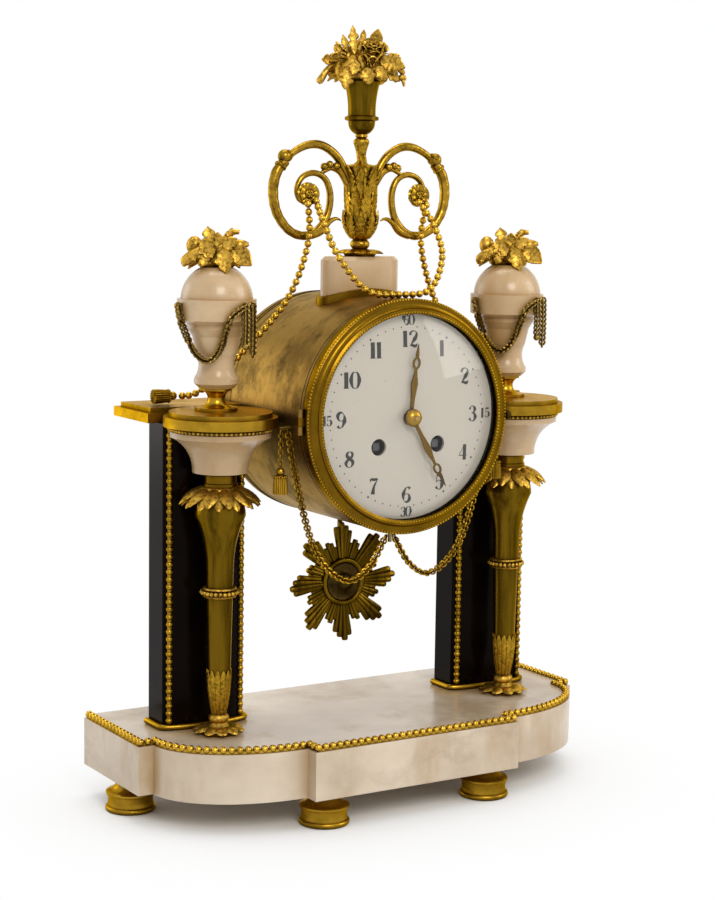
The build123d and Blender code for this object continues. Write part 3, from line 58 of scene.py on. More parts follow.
SHARP_ANGLE = 40.0
CURVE_POINTS = 17

# Places that several pieces share, in millimetres, and the turn in degrees of what faces the camera.
PILLAR_X = 97.5
SLAB_TOP = 46.6
DRUM_AXIS = 223.5
URN_Y = -1.0
VIEW_TURN = -31.75

Pair = tuple[float, float]
Triple = tuple[float, float, float]


class Body(Enum):
    """The moving bodies that new pieces ride on."""

    CASE = "case"
    BEZEL = "bezel"
    PENDULUM = "pendulum"


class Slot(Enum):
    """The record's material slots."""

    CREAM = "cream_marble"
    BLACK = "black_marble"
    GILT = "gilt"
    OLD_BRASS = "old_brass"
    ENAMEL = "enamel"
    GLASS = "glass"
    BELL = "bell_bronze"
    BRASS = "movement_brass"
    STEEL = "steel"


class Value:
    """A shader number that can be added, multiplied and so on."""

    def __init__(self, tree: bpy.types.NodeTree, socket: bpy.types.NodeSocket) -> None:
        """Wraps one output socket of a node tree."""
        self.tree = tree
        self.socket = socket

    def math(self, operation: str, *others: Any) -> "Value":
        """Adds a Math node.

        Args:
            operation: the node's operation.
            others: the values or sockets of its inputs, in order.

        Returns:
            The node's result.
        """
        node = self.tree.nodes.new("ShaderNodeMath")
        node.operation = operation
        for index, other in enumerate(others):
            if isinstance(other, Value):
                self.tree.links.new(other.socket, node.inputs[index])
            else:
                node.inputs[index].default_value = other
        return Value(self.tree, node.outputs[0])

    def __add__(self, other: Any) -> "Value":
        """Sum."""
        return self.math("ADD", self, other)

    __radd__ = __add__

    def __mul__(self, other: Any) -> "Value":
        """Product."""
        return self.math("MULTIPLY", self, other)

    __rmul__ = __mul__

    def __sub__(self, other: Any) -> "Value":
        """Difference."""
        return self.math("SUBTRACT", self, other)

    def __rsub__(self, other: Any) -> "Value":
        """Difference, the other way round."""
        return self.math("SUBTRACT", other, self)

    def __pow__(self, other: Any) -> "Value":
        """Power."""
        return self.math("POWER", self, other)

    def __abs__(self) -> "Value":
        """Size without its sign."""
        return self.math("ABSOLUTE", self)

    def clamp(self) -> "Value":
        """The value held between none and one."""
        return self.math("MINIMUM", self.math("MAXIMUM", self, 0.0), 1.0)


class Paint:
    """A material in the making, with one shader and the nodes that feed it."""

    def __init__(self, name: str) -> None:
        """Starts a material with its shader.

        Args:
            name: the material's name.
        """
        self.material = bpy.data.materials.new(name)
        self.material.use_nodes = True
        self.tree = self.material.node_tree
        self.shader = self.tree.nodes["Principled BSDF"]
        self.where = self.node("ShaderNodeTexCoord", output="Object")

    def node(self, kind: str, settings: dict[str, Any] | None = None,
             inputs: dict[Any, Any] | None = None, output: Any = 0) -> Value:
        """Makes any node.

        Args:
            kind: the node's type.
            settings: its properties.
            inputs: the values or links of its sockets.
            output: the name or place of the socket to return.

        Returns:
            The output as a value.
        """
        node = self.tree.nodes.new(kind)
        for key, value in (settings or {}).items():
            setattr(node, key, value)
        for key, value in (inputs or {}).items():
            self.feed(node.inputs[key], value)
        return Value(self.tree, node.outputs[output])

    def feed(self, socket: bpy.types.NodeSocket, value: Any) -> None:
        """Links a value to a socket, or sets the socket to a constant.

        Args:
            socket: the socket.
            value: the value or the constant.
        """
        if isinstance(value, Value):
            self.tree.links.new(value.socket, socket)
        elif socket.type == "RGBA" and len(value) == 3:
            socket.default_value = (*value, 1.0)
        else:
            socket.default_value = value

    def noise(self, scale: float, detail: float = 4.0, rough: float = 0.6,
              stretch: Triple = (1, 1, 1)) -> Value:
        """Cloudy noise.

        Args:
            scale: how many clouds to a metre.
            detail: how many finer layers it has.
            rough: how strong the finer layers are.
            stretch: how the pattern is drawn out along x, y and z.

        Returns:
            The noise, from none to one.
        """
        where = self.node("ShaderNodeMapping", inputs={"Vector": self.where, "Scale": stretch})
        return self.node("ShaderNodeTexNoise", inputs={
            "Vector": where, "Scale": scale, "Detail": detail, "Roughness": rough}, output="Fac")

    def along(self, axis: str) -> Value:
        """Gives the place along an axis of the object, in metres."""
        return self.node("ShaderNodeSeparateXYZ", inputs={"Vector": self.where}, output=axis)

    def mix(self, share: Any, first: Any, second: Any) -> Value:
        """Mixes two colours.

        Args:
            share: the second colour's share.
            first: the first colour.
            second: the second colour.

        Returns:
            The mixed colour.
        """
        node = self.tree.nodes.new("ShaderNodeMix")
        node.data_type = "RGBA"
        for index, value in ((0, share), (6, first), (7, second)):
            self.feed(node.inputs[index], value)
        return Value(self.tree, node.outputs[2])

    def ramp(self, share: Value, low: float, high: float) -> Value:
        """Stretches the part of a value between two limits over none to one."""
        limits = {"Value": share, "From Min": low, "From Max": high}
        return self.node("ShaderNodeMapRange", inputs=limits)

    def shade(self, distance: float) -> Value:
        """How open a place is: one on open faces, none deep in corners."""
        return self.node("ShaderNodeAmbientOcclusion", {"samples": 6}, {"Distance": distance}, "AO")

    def bump(self, height: Value, distance: float) -> None:
        """Raises the surface by a value from none to one, where one stands a distance in metres high."""
        raised = {"Height": height, "Distance": distance, "Strength": 1.0}
        self.feed(self.shader.inputs["Normal"], self.node("ShaderNodeBump", inputs=raised))

    def set(self, **sockets: Any) -> bpy.types.Material:
        """Feeds the shader's sockets.

        Args:
            sockets: what each socket gets, with an underscore for each space in its name.

        Returns:
            The material.
        """
        for key, value in sockets.items():
            self.feed(self.shader.inputs[key.replace("_", " ")], value)
        return self.material


@dataclass(frozen=True)
class Metal:
    """A cast or turned metal, brighter where it is rubbed, with painted shade (and some patina) in its
    corners and in the low parts of its chasing.
    """

    name: str
    bright: Triple
    dark: Triple
    roughness: float
    # How far, in metres, the painted shade in corners reaches; depth sets how dark it gets.
    corner: float = 0.004
    clouds: float = 60.0
    dark_share: float = 0.45
    grain: float = 0.00006
    # Stretch of the noise; on the shafts its long streaks in the colour are painted reflections.
    streaks: Triple = (1, 1, 1)
    depth: float = 1.6
    chasing: float = 0.0
    cuts: float = 330.0
    # Share of painted shade in the low parts of the chasing.
    cut_share: float = 0.75
    edge: Triple = (1.0, 0.76, 0.40)
    fine_scale: float = 900.0
    patina_span: Pair = (0.40, 0.66)
    # The span of the chasing noise over which that painted shade fades.
    cut_span: Pair = (0.36, 0.58)

    def make(self) -> bpy.types.Material:
        """Makes the material.

        Returns:
            The finished material.
        """
        paint = Paint(self.name)
        cloud = paint.noise(self.clouds, 6, 0.65, self.streaks)
        fine = paint.noise(self.fine_scale, 3, 0.7, self.streaks)
        # Painted shade: ambient occlusion darkens the colour in corners and hollows, with some patina there
        # too.
        unshaded = paint.shade(self.corner) ** self.depth
        patina_and_cut_shade = paint.ramp(cloud, *self.patina_span) * self.dark_share
        height = fine * 0.6 + cloud * 0.4
        # Painted shade: the low parts of the chasing are darkened in the colour, not only raised.
        if self.chasing:
            cuts = paint.noise(self.cuts, 3, 0.55)
            patina_and_cut_shade = (patina_and_cut_shade + (1 - paint.ramp(cuts, *self.cut_span)) * self.cut_share).clamp()
            height = height * (self.grain / self.chasing) + cuts
        # Share of the dark colour: patina clouds, with painted shade in corners and in the chasing.
        worn = (1 - unshaded * (1 - patina_and_cut_shade)).clamp()
        colour = paint.mix(worn, self.bright, self.dark)
        paint.bump(height, self.chasing or self.grain)
        rough = (self.roughness + worn * 0.18 + fine * 0.06).clamp()
        return paint.set(Base_Color=colour, Metallic=1.0, Roughness=rough, Specular_Tint=self.edge)


@dataclass(frozen=True)
class Brushed:
    """Old brass sheet with turned lines, dark smudges and scratches."""

    name: str
    bright: Triple
    dark: Triple
    roughness: float
    scribed: Triple = (-0.0402, -0.0375, 0.0425)
    line_span: Pair = (0.0003, 0.0006)
    edge: Triple = (1.0, 0.84, 0.58)

    def make(self) -> bpy.types.Material:
        """Makes the material.

        Returns:
            The finished material.
        """
        paint = Paint(self.name)
        lines = paint.noise(70, detail=5, rough=0.7, stretch=(0.4, 9, 0.4))
        smudge = paint.ramp(paint.noise(24, detail=9, rough=0.74, stretch=(1, 1.3, 1)), 0.49, 0.58)
        blotch = paint.ramp(paint.noise(60, detail=6, rough=0.70, stretch=(1, 0.8, 1)), 0.52, 0.64)
        scratch = paint.ramp(paint.noise(150, detail=3, stretch=(0.7, 7, 0.7)), 0.56, 0.72)
        worn = smudge * 0.42 + blotch * 0.3 + lines * 0.4 + scratch * 0.22 - 0.14
        depth = paint.along("Y")
        first, *others = (1 - paint.ramp(abs(depth - place), *self.line_span) for place in self.scribed)
        worn = (worn + sum(others, first).clamp()).clamp()
        paint.bump(lines + scratch * 0.4, 0.00010)
        rough = (worn * 0.2 + self.roughness).clamp()
        return paint.set(
            Base_Color=paint.mix(worn, self.bright, self.dark), Metallic=1.0, Roughness=rough,
            Specular_Tint=self.edge)


@dataclass(frozen=True)
class Marble:
    """Polished marble with faint clouds and veins, and optional stain patches and painted shade in its
    corners.
    """

    name: str
    ground: Triple
    cloud: Triple
    vein: Triple
    roughness: float
    cloud_scale: float = 14.0
    vein_scale: float = 9.0
    vein_share: float = 0.35
    gloss: float = 0.5
    tint: Triple = (1.0, 1.0, 1.0)
    # Colour and share of the stain patches and of the painted shade in corners.
    stain: Triple = (0.42, 0.26, 0.11)
    stain_share: float = 0.0

    def make(self) -> bpy.types.Material:
        """Makes the material.

        Returns:
            The finished material.
        """
        paint = Paint(self.name)
        drift = paint.noise(self.cloud_scale, detail=5, rough=0.55, stretch=(1, 1, 1.4))
        warp = paint.noise(self.vein_scale, detail=8, rough=0.62, stretch=(1.0, 0.7, 1.6))
        line = 1 - paint.ramp(abs(warp - 0.5), 0.0, 0.035)
        broken = paint.ramp(paint.noise(self.vein_scale * 0.6, detail=3), 0.46, 0.66)
        speck = paint.noise(700, detail=2, rough=0.5)
        colour = paint.mix(paint.ramp(drift, 0.35, 0.7), self.ground, self.cloud)
        # Stain patches, and painted shade in corners from ambient occlusion, both in the stain colour.
        if self.stain_share:
            blots = paint.noise(self.cloud_scale * 1.3, detail=5, stretch=(1.4, 1.4, 0.5))
            patch = paint.ramp(blots, 0.50, 0.68) * 0.8
            corner = paint.ramp(1 - paint.shade(0.02), 0.05, 0.42)
            colour = paint.mix(((patch + corner) * self.stain_share).clamp(), colour, self.stain)
        colour = paint.mix((line * broken * self.vein_share).clamp(), colour, self.vein)
        paint.bump(speck, 0.00002)
        return paint.set(
            Base_Color=colour, Roughness=(self.roughness + drift * 0.08).clamp(),
            Specular_IOR_Level=self.gloss, Specular_Tint=self.tint)


@dataclass(frozen=True)
class Enamel:
    """White enamel, fired on copper, with a few grey specks."""

    name: str
    ground: Triple
    speck: Triple

    def make(self) -> bpy.types.Material:
        """Makes the material.

        Returns:
            The finished material.
        """
        paint = Paint(self.name)
        specks = paint.ramp(paint.noise(420, detail=2, rough=0.5), 0.70, 0.76)
        haze = paint.noise(30, detail=3)
        colour = paint.mix((specks * 0.35 + haze * 0.10).clamp(), self.ground, self.speck)
        paint.bump(haze, 0.00008)
        return paint.set(Base_Color=colour, Roughness=(haze * 0.1 + 0.12).clamp(), Coat_Weight=0.4)


@dataclass(frozen=True)
class Ink:
    """Black vitreous paint of the numbers, a little worn."""

    name: str
    ground: Triple
    worn: Triple

    def make(self) -> bpy.types.Material:
        """Makes the material.

        Returns:
            The finished material.
        """
        paint = Paint(self.name)
        patch = paint.ramp(paint.noise(500), 0.55, 0.8)
        return paint.set(Base_Color=paint.mix(patch, self.ground, self.worn), Roughness=patch * 0.2 + 0.3)


@dataclass(frozen=True)
class ClearGlass:
    """Thin blown glass, clear but for its gloss."""

    name: str
    alpha: float

    def make(self) -> bpy.types.Material:
        """Makes the material.

        Returns:
            The finished material.
        """
        paint = Paint(self.name)
        paint.bump(paint.noise(22, detail=2), 0.0001)
        return paint.set(Base_Color=(1.0, 1.0, 1.0), Metallic=1.0, Alpha=self.alpha, Roughness=0.03)


class Finishes:
    """All finishes of the clock, made once."""

    def __init__(self) -> None:
        """Makes every material."""
        self.gilt = Metal(
            "gilt", (0.50, 0.285, 0.019), (0.06, 0.030, 0.002), 0.19, dark_share=0.55).make()
        self.bead_gilt = Metal(
            "bead_gilt", (0.64, 0.385, 0.045), (0.06, 0.030, 0.002), 0.17, dark_share=0.4).make()
        self.cast_gilt = Metal(
            "cast_gilt", (0.50, 0.288, 0.024), (0.045, 0.023, 0.0015), 0.22, corner=0.003, clouds=110.0,
            dark_share=0.35, depth=1.0, chasing=0.0003, cuts=560.0, cut_share=0.5).make()
        self.scroll_gilt = Metal(
            "scroll_gilt", (0.44, 0.255, 0.024), (0.035, 0.018, 0.001), 0.17, corner=0.005, clouds=70.0,
            dark_share=0.5, depth=1.5, chasing=0.00012, cuts=420.0, cut_share=0.3).make()
        self.flower_gilt = Metal(
            "flower_gilt", (0.68, 0.405, 0.060), (0.08, 0.042, 0.004), 0.32, corner=0.003, clouds=110.0,
            dark_share=0.35, depth=1.25, chasing=0.0003, cuts=480.0, cut_share=0.6).make()
        self.plain_gilt = Metal("plain_gilt", (0.19, 0.101, 0.006), (0.05, 0.025, 0.0015), 0.20).make()
        # Its long vertical streaks in the colour, strongly contrasted, are painted reflections.
        self.shaft_gilt = Metal(
            "shaft_gilt", (0.15, 0.085, 0.005), (0.026, 0.014, 0.001), 0.20, corner=0.005, dark_share=0.8,
            grain=0.00005, streaks=(3, 3, 0.25)).make()
        self.dark_gilt = Metal(
            "dark_gilt", (0.27, 0.175, 0.045), (0.03, 0.017, 0.004), 0.28, corner=0.003, clouds=90.0,
            dark_share=0.5).make()
        self.plate_gilt = Metal(
            "plate_gilt", (0.42, 0.240, 0.019), (0.07, 0.036, 0.002), 0.24, clouds=40.0,
            dark_share=0.6).make()
        self.drum_brass = Brushed("drum_brass", (0.255, 0.148, 0.034), (0.034, 0.022, 0.009), 0.34).make()
        # Near black, and dark at grazing angles too: painted shadow on the ring round the dial, and the dark
        # turned lines on the drum.
        self.shadow_brass = Metal(
            "shadow_brass", (0.022, 0.016, 0.008), (0.008, 0.006, 0.003), 0.45,
            edge=(0.12, 0.09, 0.05)).make()
        self.hub_brass = Metal(
            "hub_brass", (0.060, 0.036, 0.008), (0.012, 0.007, 0.002), 0.34, clouds=160.0,
            dark_share=0.8).make()
        self.brass = Metal("movement_brass", (0.72, 0.52, 0.20), (0.20, 0.13, 0.04), 0.22).make()
        self.bell = Metal("bell_bronze", (0.55, 0.44, 0.27), (0.16, 0.11, 0.06), 0.28).make()
        self.steel = Metal(
            "steel", (0.11, 0.11, 0.115), (0.03, 0.03, 0.032), 0.28, edge=(1.0, 1.0, 1.0)).make()
        self.cream = Marble(
            "cream_marble", (0.70, 0.530, 0.335), (0.54, 0.360, 0.185), (0.34, 0.21, 0.11), 0.20,
            stain=(0.44, 0.265, 0.095), stain_share=0.8).make()
        # Painted shade: a darker copy of the cream marble for the capitals, which lie in the shade of the
        # plates above.
        self.shaded = Marble(
            "capital_marble_painted_shade", (0.58, 0.430, 0.265), (0.45, 0.300, 0.155), (0.34, 0.21, 0.11), 0.20,
            stain=(0.36, 0.225, 0.090), stain_share=0.8).make()
        self.white = Marble(
            "white_marble", (0.78, 0.665, 0.525), (0.53, 0.415, 0.300), (0.36, 0.26, 0.18), 0.20,
            stain=(0.43, 0.285, 0.130), stain_share=0.75).make()
        self.black = Marble(
            "black_marble", (0.0012, 0.0006, 0.0004), (0.0040, 0.0022, 0.0014), (0.020, 0.013, 0.010), 0.16,
            cloud_scale=20, vein_scale=11, vein_share=0.25, gloss=0.05, tint=(1.0, 0.76, 0.60)).make()
        self.enamel = Enamel("enamel", (0.530, 0.488, 0.412), (0.30, 0.26, 0.20)).make()
        self.ink = Ink("ink", (0.012, 0.011, 0.010), (0.06, 0.055, 0.05)).make()
        self.glass = ClearGlass("glass", 0.016).make()


def bow(start: Pair, middle: Pair, end: Pair, steps: int = 8) -> list[Pair]:
    """Points on the round arc through three points, without the first.

    Args:
        start: where the arc starts.
        middle: a point that it passes.
        end: where it ends.
        steps: how many points to return.

    Returns:
        The points, the last of them the end.
    """
    (ax, ay), (bx, by), (cx, cy) = start, middle, end
    d = 2 * (ax * (by - cy) + bx * (cy - ay) + cx * (ay - by))
    a2, b2, c2 = ax * ax + ay * ay, bx * bx + by * by, cx * cx + cy * cy
    ox = (a2 * (by - cy) + b2 * (cy - ay) + c2 * (ay - by)) / d
    oy = (a2 * (cx - bx) + b2 * (ax - cx) + c2 * (bx - ax)) / d
    radius = hypot(ax - ox, ay - oy)
    first, last = atan2(ay - oy, ax - ox), atan2(cy - oy, cx - ox)
    sweep = (last - first) % tau
    if (atan2(by - oy, bx - ox) - first) % tau > sweep:
        sweep -= tau
    turns = [first + sweep * step / steps for step in range(1, steps + 1)]
    return [(ox + radius * cos(turn), oy + radius * sin(turn)) for turn in turns]


def outline(items: Sequence[Any]) -> list[Pair]:
    """Draws a turned outline.

    Args:
        items: its first point, then a point for a straight run or (middle, end) for an arc.

    Returns:
        The points of the outline.
    """
    points = [items[0]]
    for item in items[1:]:
        if isinstance(item[0], tuple):
            points += bow(points[-1], item[0], item[1])
        else:
            points.append(item)
    return points


def turned(points: Sequence[Pair], steps: int = 48, closed: bool = False) -> BMesh:
    """Turns an outline of (radius, height) points about the z axis.

    Args:
        points: the outline, from bottom to top, or all the way round a ring.
        steps: how many facets the turn has.
        closed: whether the outline comes back to its start.

    Returns:
        The turned part.
    """
    part = bmesh.new()
    row = [part.verts.new((radius, 0.0, height)) for radius, height in points]
    pairs = list(zip(row, row[1:])) + ([(row[-1], row[0])] if closed else [])
    edges = [part.edges.new(pair) for pair in pairs]
    bmesh.ops.spin(part, geom=row + edges, axis=(0, 0, 1), angle=tau, steps=steps, use_merge=True)
    bmesh.ops.remove_doubles(part, verts=part.verts, dist=WELD)
    bmesh.ops.recalc_face_normals(part, faces=part.faces)
    return part


def walk(points: Sequence[Any], pitch: float, smooth: bool = True) -> list[tuple[Vector, Vector]]:
    """Walks along a line in even steps.

    Args:
        points: the points that the line passes.
        pitch: about how long a step is.
        smooth: whether the line curves at its points.

    Returns:
        The place and the direction at each step.
    """
    knots = [Vector(point) for point in points]
    line = [knots[0]]
    for index, (here, there) in enumerate(zip(knots, knots[1:])):
        before, after = knots[max(index - 1, 0)], knots[min(index + 2, len(knots) - 1)]
        if smooth:
            pulls = here + (there - before) / 6, there - (after - here) / 6
            line += interpolate_bezier(here, *pulls, there, CURVE_POINTS)[1:]
        else:
            line.append(there)
    total = sum((b - a).length for a, b in zip(line, line[1:]))
    count = max(1, round(total / pitch))
    step = total / count
    places, gone, wanted = [], 0.0, 0.0
    for a, b in zip(line, line[1:]):
        run = (b - a).length
        while wanted <= gone + run + TINY and len(places) <= count:
            places.append((a.lerp(b, min(1.0, (wanted - gone) / run)), (b - a).normalized()))
            wanted += step
        gone += run
    return places


def spots(points: Sequence[Any], pitch: float, smooth: bool = True) -> list[Vector]:
    """The places alone of a walk along a line."""
    return [place for place, _ in walk(points, pitch, smooth)]


def circle(count: int, radius: float) -> list[Pair]:
    """Even points on a circle about the origin."""
    return [(radius * cos(tau * k / count), radius * sin(tau * k / count)) for k in range(count)]


def leaf(length: float, width: float, start: float, bend: float, cup: float, lobes: int = 0,
         belly: float = 1.0, thick: float = 0.8, tip: float = 0.94, notch: float = 0.34) -> BMesh:
    """A leaf that grows up from the origin and bends toward +x.

    Args:
        length: its length along the rib.
        width: its greatest width.
        start: how far its root leans toward +x, in degrees.
        bend: how far it bends on the way to its tip, in degrees.
        cup: how far its edges rise above its rib.
        lobes: how many notches each edge has.
        belly: under one the leaf is widest near its root.
        thick: its thickness.
        tip: a lower number makes its tip blunter.
        notch: how deep its notches are, as a share of its width.

    Returns:
        The leaf.
    """
    part = bmesh.new()
    bmesh.ops.create_grid(part, x_segments=4, y_segments=4 * lobes + 2 if lobes else 7, size=0.5)
    lean, curl = radians(start), radians(bend) or 1e-4
    arm = length / curl
    for vert in part.verts:
        across, along = 2 * vert.co.x, vert.co.y + 0.5
        half = width / 2 * max(0.04, sin(pi * (0.06 + tip * along) ** belly))
        if lobes:
            half *= 1 - notch + notch * abs(sin(pi * lobes * along)) ** 0.7
        turn = lean + curl * along
        lift = cup * half * (across * across - 0.5) + 0.16 * half * (1 - abs(across)) ** 2
        vert.co = (
            arm * (cos(lean) - cos(turn)) + lift * cos(turn), across * half,
            arm * (sin(turn) - sin(lean)) - lift * sin(turn))
    bmesh.ops.recalc_face_normals(part, faces=part.faces)
    bmesh.ops.solidify(part, geom=part.faces[:], thickness=thick)
    return part


def about(x: float, y: float, z: float, turn: float = 0.0, tilt: float = 0.0, roll: float = 0.0) -> Matrix:
    """A place turned about z, then tilted about its own y, then rolled about its own z, in degrees."""
    place = Matrix.Translation((x, y, z)) @ Matrix.Rotation(radians(turn), 4, "Z")
    return place @ Matrix.Rotation(radians(tilt), 4, "Y") @ Matrix.Rotation(radians(roll), 4, "Z")


def facing(x: float, y: float, z: float) -> Matrix:
    """A place whose own z axis points to the front."""
    return Matrix.Translation((x, y, z)) @ Matrix.Rotation(pi / 2, 4, "X")


class Shape:
    """A piece in the making, in millimetres in the clock's own frame."""

    def __init__(self) -> None:
        """Starts with nothing."""
        self.bm = bmesh.new()

    def add(self, part: BMesh, *places: Matrix) -> None:
        """Joins a part to the piece, once at each place.

        Args:
            part: the part, which is used up.
            places: where it goes; where it was made, if none is given.
        """
        mesh = bpy.data.meshes.new("part")
        part.to_mesh(mesh)
        part.free()
        for place in places or (Matrix(),):
            copy = mesh.copy()
            copy.transform(place)
            self.bm.from_mesh(copy)
            bpy.data.meshes.remove(copy)
        bpy.data.meshes.remove(mesh)

    def lathe(self, items: Sequence[Any], place: Matrix, steps: int = 48, closed: bool = False) -> None:
        """Adds a form turned about the z axis of a place, from an outline that is closed for a ring."""
        self.add(turned(outline(items), steps, closed), place)

    def balls(self, places: Iterable[Any], radius: float, stretch: Triple = (1, 1, 1),
              sides: int = 10) -> None:
        """Adds a bead at each place.

        Args:
            places: the beads' middles.
            radius: their radius.
            stretch: how they are drawn out along x, y and z.
            sides: how many sides they have.
        """
        part = bmesh.new()
        bmesh.ops.create_uvsphere(part, u_segments=sides, v_segments=2 + sides // 2, radius=radius,
                                  matrix=Matrix.Diagonal((*stretch, 1)))
        self.add(part, *(Matrix.Translation(place) for place in places))

    def whorl(self, part: BMesh, place: Matrix, count: int, away: float, shift: float = 0.0) -> None:
        """Sets leaves in a ring, some way from the z axis of a place, turned by a shift of their pitch."""
        turns = (360 * (k + shift) / count for k in range(count))
        self.add(part, *(place @ about(0, 0, 0, turn) @ about(away, 0, 0) for turn in turns))

    def show(self, place: Matrix, lean: float, size: Pair, lobes: int, bend: float,
             thick: float = 0.8) -> None:
        """Adds a leaf of a length and width that shows its face to the front and leans right, in degrees."""
        made = leaf(*size, -4, bend, cup=0.35, lobes=lobes, thick=thick, notch=0.5)
        self.add(made, place @ about(0, 0, 0, 0, lean, -90))

    def bar(self, points: Sequence[Any], radius: float | Callable[[float], float], sides: int = 10) -> None:
        """Adds a round bar along points.

        Args:
            points: the points of its middle line.
            radius: its radius, or a function of the share of its length.
            sides: how many sides it has.
        """
        part = bmesh.new()
        middles = [Vector(point) for point in points]
        last = len(middles) - 1
        first = middles[1] - middles[0]
        side = Vector((1, 0, 0)) if abs(first.normalized().y) > 0.9 else Vector((0, 1, 0))
        rings = []
        for index, middle in enumerate(middles):
            ahead = (middles[min(index + 1, last)] - middles[max(index - 1, 0)]).normalized()
            side = (side - ahead * side.dot(ahead)).normalized()
            turn = Matrix((side, ahead.cross(side), ahead)).transposed().to_4x4()
            made = bmesh.ops.create_circle(
                part, segments=sides, radius=radius(index / last) if callable(radius) else radius,
                matrix=Matrix.Translation(middle) @ turn)
            rings.append(list({edge for vert in made["verts"] for edge in vert.link_edges}))
        for low, high in zip(rings, rings[1:]):
            bmesh.ops.bridge_loops(part, edges=low + high)
        bmesh.ops.holes_fill(part, edges=rings[0] + rings[-1], sides=0)
        bmesh.ops.recalc_face_normals(part, faces=part.faces)
        self.add(part)

    def piece(self, name: str, material: bpy.types.Material, slot: Slot, body: Body = Body.CASE,
              stands_for: Sequence[str] = ()) -> None:
        """Makes the piece an object of the clock.

        Args:
            name: its name.
            material: its finish.
            slot: the record's slot of that finish; it is not used.
            body: the body it rides on.
            stands_for: the nodes it replaces.
        """
        bmesh.ops.scale(self.bm, vec=(MILLIMETRE,) * 3, verts=self.bm.verts)
        mesh = bpy.data.meshes.new(name)
        self.bm.to_mesh(mesh)
        self.bm.free()
        mesh.materials.append(material)
        mesh.polygons.foreach_set("use_smooth", [True] * len(mesh.polygons))
        mesh.set_sharp_from_angle(angle=radians(SHARP_ANGLE))
        made = bpy.data.objects.new(name, mesh)
        bpy.context.scene.collection.objects.link(made)
        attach(made, body.value)
        if stands_for:
            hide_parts(*stands_for)
        LOG.info("%s: %d faces", name, len(mesh.polygons))


@dataclass
class Ornament:
    """A group of pieces that are made together, in the clock's finishes."""

    finishes: Finishes

    def build(self) -> None:
        """Makes the pieces."""
        raise NotImplementedError


@dataclass
class Base(Ornament):
    """The beaded edge and the turned feet of the marble base."""

    half_width: float = 147.75
    front: float = -64.0
    back: float = 64.0
    break_half: float = 68.0
    notch: float = 9.0
    end_front: float = -8.2
    corner_steps: int = 12
    bead: float = 2.15
    bead_lift: float = 0.5
    pitch: float = 4.5
    rod: float = 1.5
    rod_drop: float = 1.2
    foot_height: float = 17.6
    foot_places: tuple[Pair, ...] = ((54.0, -49.7), (137.0, 24.6), (54.0, 49.7))

    def edge(self) -> list[Triple]:
        """Draws the line of the beads.

        Returns:
            Its points, from the left end round the front to the right end.
        """
        inset = self.bead
        across = self.half_width - self.break_half - self.notch - inset
        deep = self.end_front - self.front - self.notch - inset
        half = [(0.0, self.front + inset), (self.break_half - inset, self.front + inset),
                (self.break_half - inset, self.end_front - deep)]
        for step in range(1, self.corner_steps + 1):
            turn = radians(90 * step / self.corner_steps)
            half.append((self.break_half + across * sin(turn), self.end_front - deep * cos(turn)))
        half += [(half[-1][0], self.end_front + inset), (self.half_width - inset, self.end_front + inset),
                 (self.half_width - inset, self.back - inset)]
        right = [(x, y, SLAB_TOP + self.bead_lift) for x, y in half]
        return [(-x, y, z) for x, y, z in reversed(right[1:])] + right

    def feet(self) -> None:
        """Makes the feet: a foot ring, a hollow band, a rim and a flared neck."""
        shape = Shape()
        profile = [
            (0, 0), (12.9, 0), ((14.2, 1.5), (13.5, 3.1)), (13.0, 3.3), (13.0, 3.8),
            ((12.7, 6.8), (13.5, 9.6)), (13.9, 10.0), (13.9, 11.0), (13.2, 11.5),
            ((9.6, 13.4), (7.8, self.foot_height)), (0, self.foot_height)]
        for x, y in self.foot_places:
            for side in SIDES:
                shape.lathe(profile, about(side * x, y, 0), 64)
        shape.piece("turned_feet", self.finishes.plate_gilt, Slot.GILT, stands_for=["feet"])

    def build(self) -> None:
        """Makes the feet and the beading."""
        self.feet()
        shape = Shape()
        line = self.edge()
        shape.balls(spots(line, self.pitch, smooth=False), self.bead)
        shape.bar([(x, y, z - self.rod_drop) for x, y, z in line], self.rod, sides=6)
        shape.piece("beaded_edge", self.finishes.bead_gilt, Slot.GILT, stands_for=["base_beading"])


